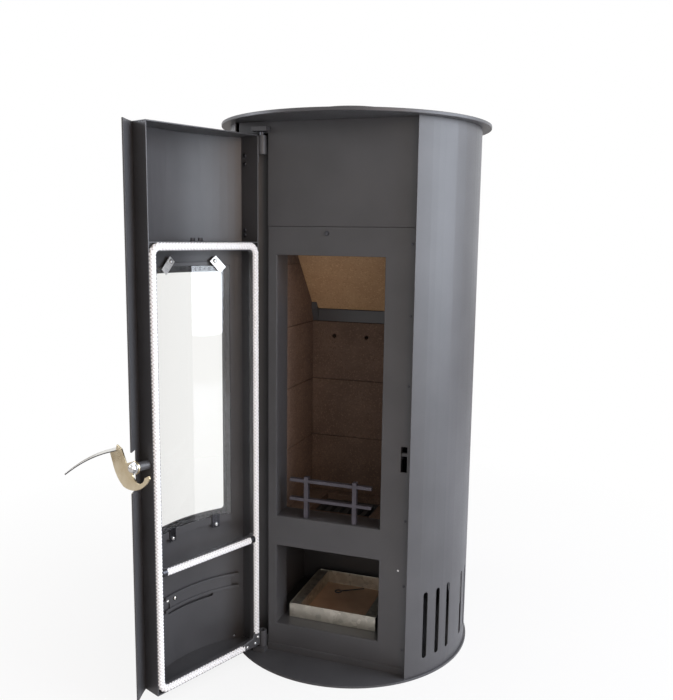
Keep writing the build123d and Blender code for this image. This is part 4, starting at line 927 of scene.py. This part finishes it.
# %% Bent wire
wire_radius = 0.0011
wire_level = 0.0633
eye_centre = np.array([-0.025, 0.004])
eye_radius = 0.0062
shank_aim = np.array([0.026, 0.037])
shank_start, shank_length = 0.002, 0.05
shank = (shank_aim - eye_centre) / np.linalg.norm(shank_aim - eye_centre)
shank_side = np.array([-shank[1], shank[0]])
sweep = np.radians(np.linspace(20, 360, 28))
eye = eye_centre + eye_radius * (np.cos(sweep)[:, None] * shank + np.sin(sweep)[:, None] * shank_side)
rod = eye[-1] + np.linspace(shank_start, shank_length, 12)[:, None] * shank
wire_line = np.vstack([eye, rod])
heading = np.gradient(wire_line, axis=0)
heading = heading / np.linalg.norm(heading, axis=1)[:, None]
wire_out = lying(np.column_stack([heading[:, 1], -heading[:, 0]]), 0.0)
wire = tube(lying(wire_line, wire_level), wire_out, (0, 0, 1), wire_radius, around=12)
make_piece("bent_wire_puller", [wire], black_bolt, "pan")
print("wire of", len(wire_line), "rings")

# %% [markdown]
# ## The floor
# The stove stands on a pale floor that runs on into white. A plain white plane would lose the shadow, and
# a lit one would show a horizon. So the floor mixes its own lit surface, which keeps the shadow, with
# plain white for the camera and for what is seen through the glass, and the white takes over with the
# distance from the stove.

# %% Floor
floor_half = 8.0
near_white_share = 0.84
white_starts, white_is_full = 0.35, 1.3
floor_mesh = bpy.data.meshes.new("floor")
floor_corners = [(-floor_half, -floor_half, 0), (floor_half, -floor_half, 0), (floor_half, floor_half, 0),
                 (-floor_half, floor_half, 0)]
floor_mesh.from_pydata(floor_corners, [], [(0, 1, 2, 3)])
floor = bpy.data.objects.new("floor", floor_mesh)
scene.collection.objects.link(floor)

floor_paint = bpy.data.materials.new("pale_floor")
floor_paint.use_nodes = True
tree = floor_paint.node_tree
tree.nodes.clear()
rays = add_node(tree, "ShaderNodeLightPath")
lit = add_node(tree, "ShaderNodeBsdfDiffuse", {"Color": colour("#ececec")})
white = add_node(tree, "ShaderNodeEmission", {"Color": (1, 1, 1, 1), "Strength": 1.0})
seen = add_node(tree, "ShaderNodeMath", {
    "Value": rays.outputs["Is Camera Ray"], "Value_001": rays.outputs["Is Transmission Ray"]},
    operation="MAXIMUM")
spot = add_node(tree, "ShaderNodeTexCoord").outputs["Object"]
distance = add_node(tree, "ShaderNodeVectorMath", {"Vector": spot}, operation="LENGTH")
far = add_node(tree, "ShaderNodeMapRange", {
    "Value": distance.outputs["Value"], "From Min": white_starts, "From Max": white_is_full,
    "To Min": near_white_share, "To Max": 1.0})
white_share = add_node(tree, "ShaderNodeMath", {
    "Value": seen.outputs[0], "Value_001": far.outputs["Result"]}, operation="MULTIPLY")
mixed = add_node(tree, "ShaderNodeMixShader", {
    "Fac": white_share.outputs[0], "Shader": lit.outputs[0], "Shader_001": white.outputs[0]})
add_node(tree, "ShaderNodeOutputMaterial", {"Surface": mixed.outputs[0]})
floor_mesh.materials.append(floor_paint)
print("floor", 2 * floor_half, "m wide")

# %% [markdown]
# ## The surround
# A studio's white walls are seen in metal and glass as well as behind the object. The world is full white
# to the camera, in reflections and through the glass, but gives the object a plainer, slightly warm
# light, so that the lamps still model its form. One plain white world would flatten it.

# %% World
room_light = 0.42
world = bpy.data.worlds.new("white_room")
scene.world = world
world.use_nodes = True
tree = world.node_tree
tree.nodes.clear()
rays = add_node(tree, "ShaderNodeLightPath")
reached = add_node(tree, "ShaderNodeMath", {
    "Value": rays.outputs["Is Glossy Ray"], "Value_001": rays.outputs["Is Transmission Ray"]},
    operation="MAXIMUM")
seen = add_node(tree, "ShaderNodeMath", {
    "Value": reached.outputs[0], "Value_001": rays.outputs["Is Camera Ray"]}, operation="MAXIMUM")
level = add_node(tree, "ShaderNodeMapRange", {"Value": seen.outputs[0], "To Min": room_light, "To Max": 1.0})
tint = add_node(tree, "ShaderNodeMix", {
    "Factor_Float": seen.outputs[0], "A_Color": colour("#fff3ea"), "B_Color": (1, 1, 1, 1)},
    data_type="RGBA")
sky = add_node(tree, "ShaderNodeBackground", {"Color": tint.outputs[2], "Strength": level.outputs["Result"]})
add_node(tree, "ShaderNodeOutputWorld", {"Surface": sky.outputs[0]})
print("world light", room_light)

# %% [markdown]
# ## The lamps
# The photograph's light comes mostly from a large cool window at the right, which draws the long soft
# band down the casing. A warm softbox in front fills the firebox, and a second window at the left lights
# the open door. Area lamps give the soft edges that points or a sun wouldn't.

# %% Lamps


def soft_lamp(name, place, aim, size, power, tint):
    """A square area lamp at a place, turned so that its face looks at the aim."""
    data = bpy.data.lights.new(name, "AREA")
    data.shape = "SQUARE"
    data.size = size
    data.energy = power
    data.color = colour(tint)[:3]
    lamp = bpy.data.objects.new(name, data)
    scene.collection.objects.link(lamp)
    back = np.array(place, float) - np.array(aim, float)
    back = back / np.linalg.norm(back)
    side = np.cross([0, 0, 1], back)
    side = side / np.linalg.norm(side)
    axes = np.column_stack([side, np.cross(back, side), back])
    lamp.matrix_world = Matrix.Translation(place) @ Matrix(axes.tolist()).to_4x4()


soft_lamp("warm_front_softbox", (2.1, -1.95, 1.35), (0, -0.1, 0.45), 1.2, 14, "#ffdcc4")
soft_lamp("right_window", (2.2, 0.0, 1.3), (0.1, 0, 0.6), 2.2, 84, "#e8f1ff")
soft_lamp("left_window", (-2.0, -0.9, 1.2), (-0.25, -0.2, 0.8), 0.9, 20, "#eef3ff")
print(len(bpy.data.lights), "lamps")
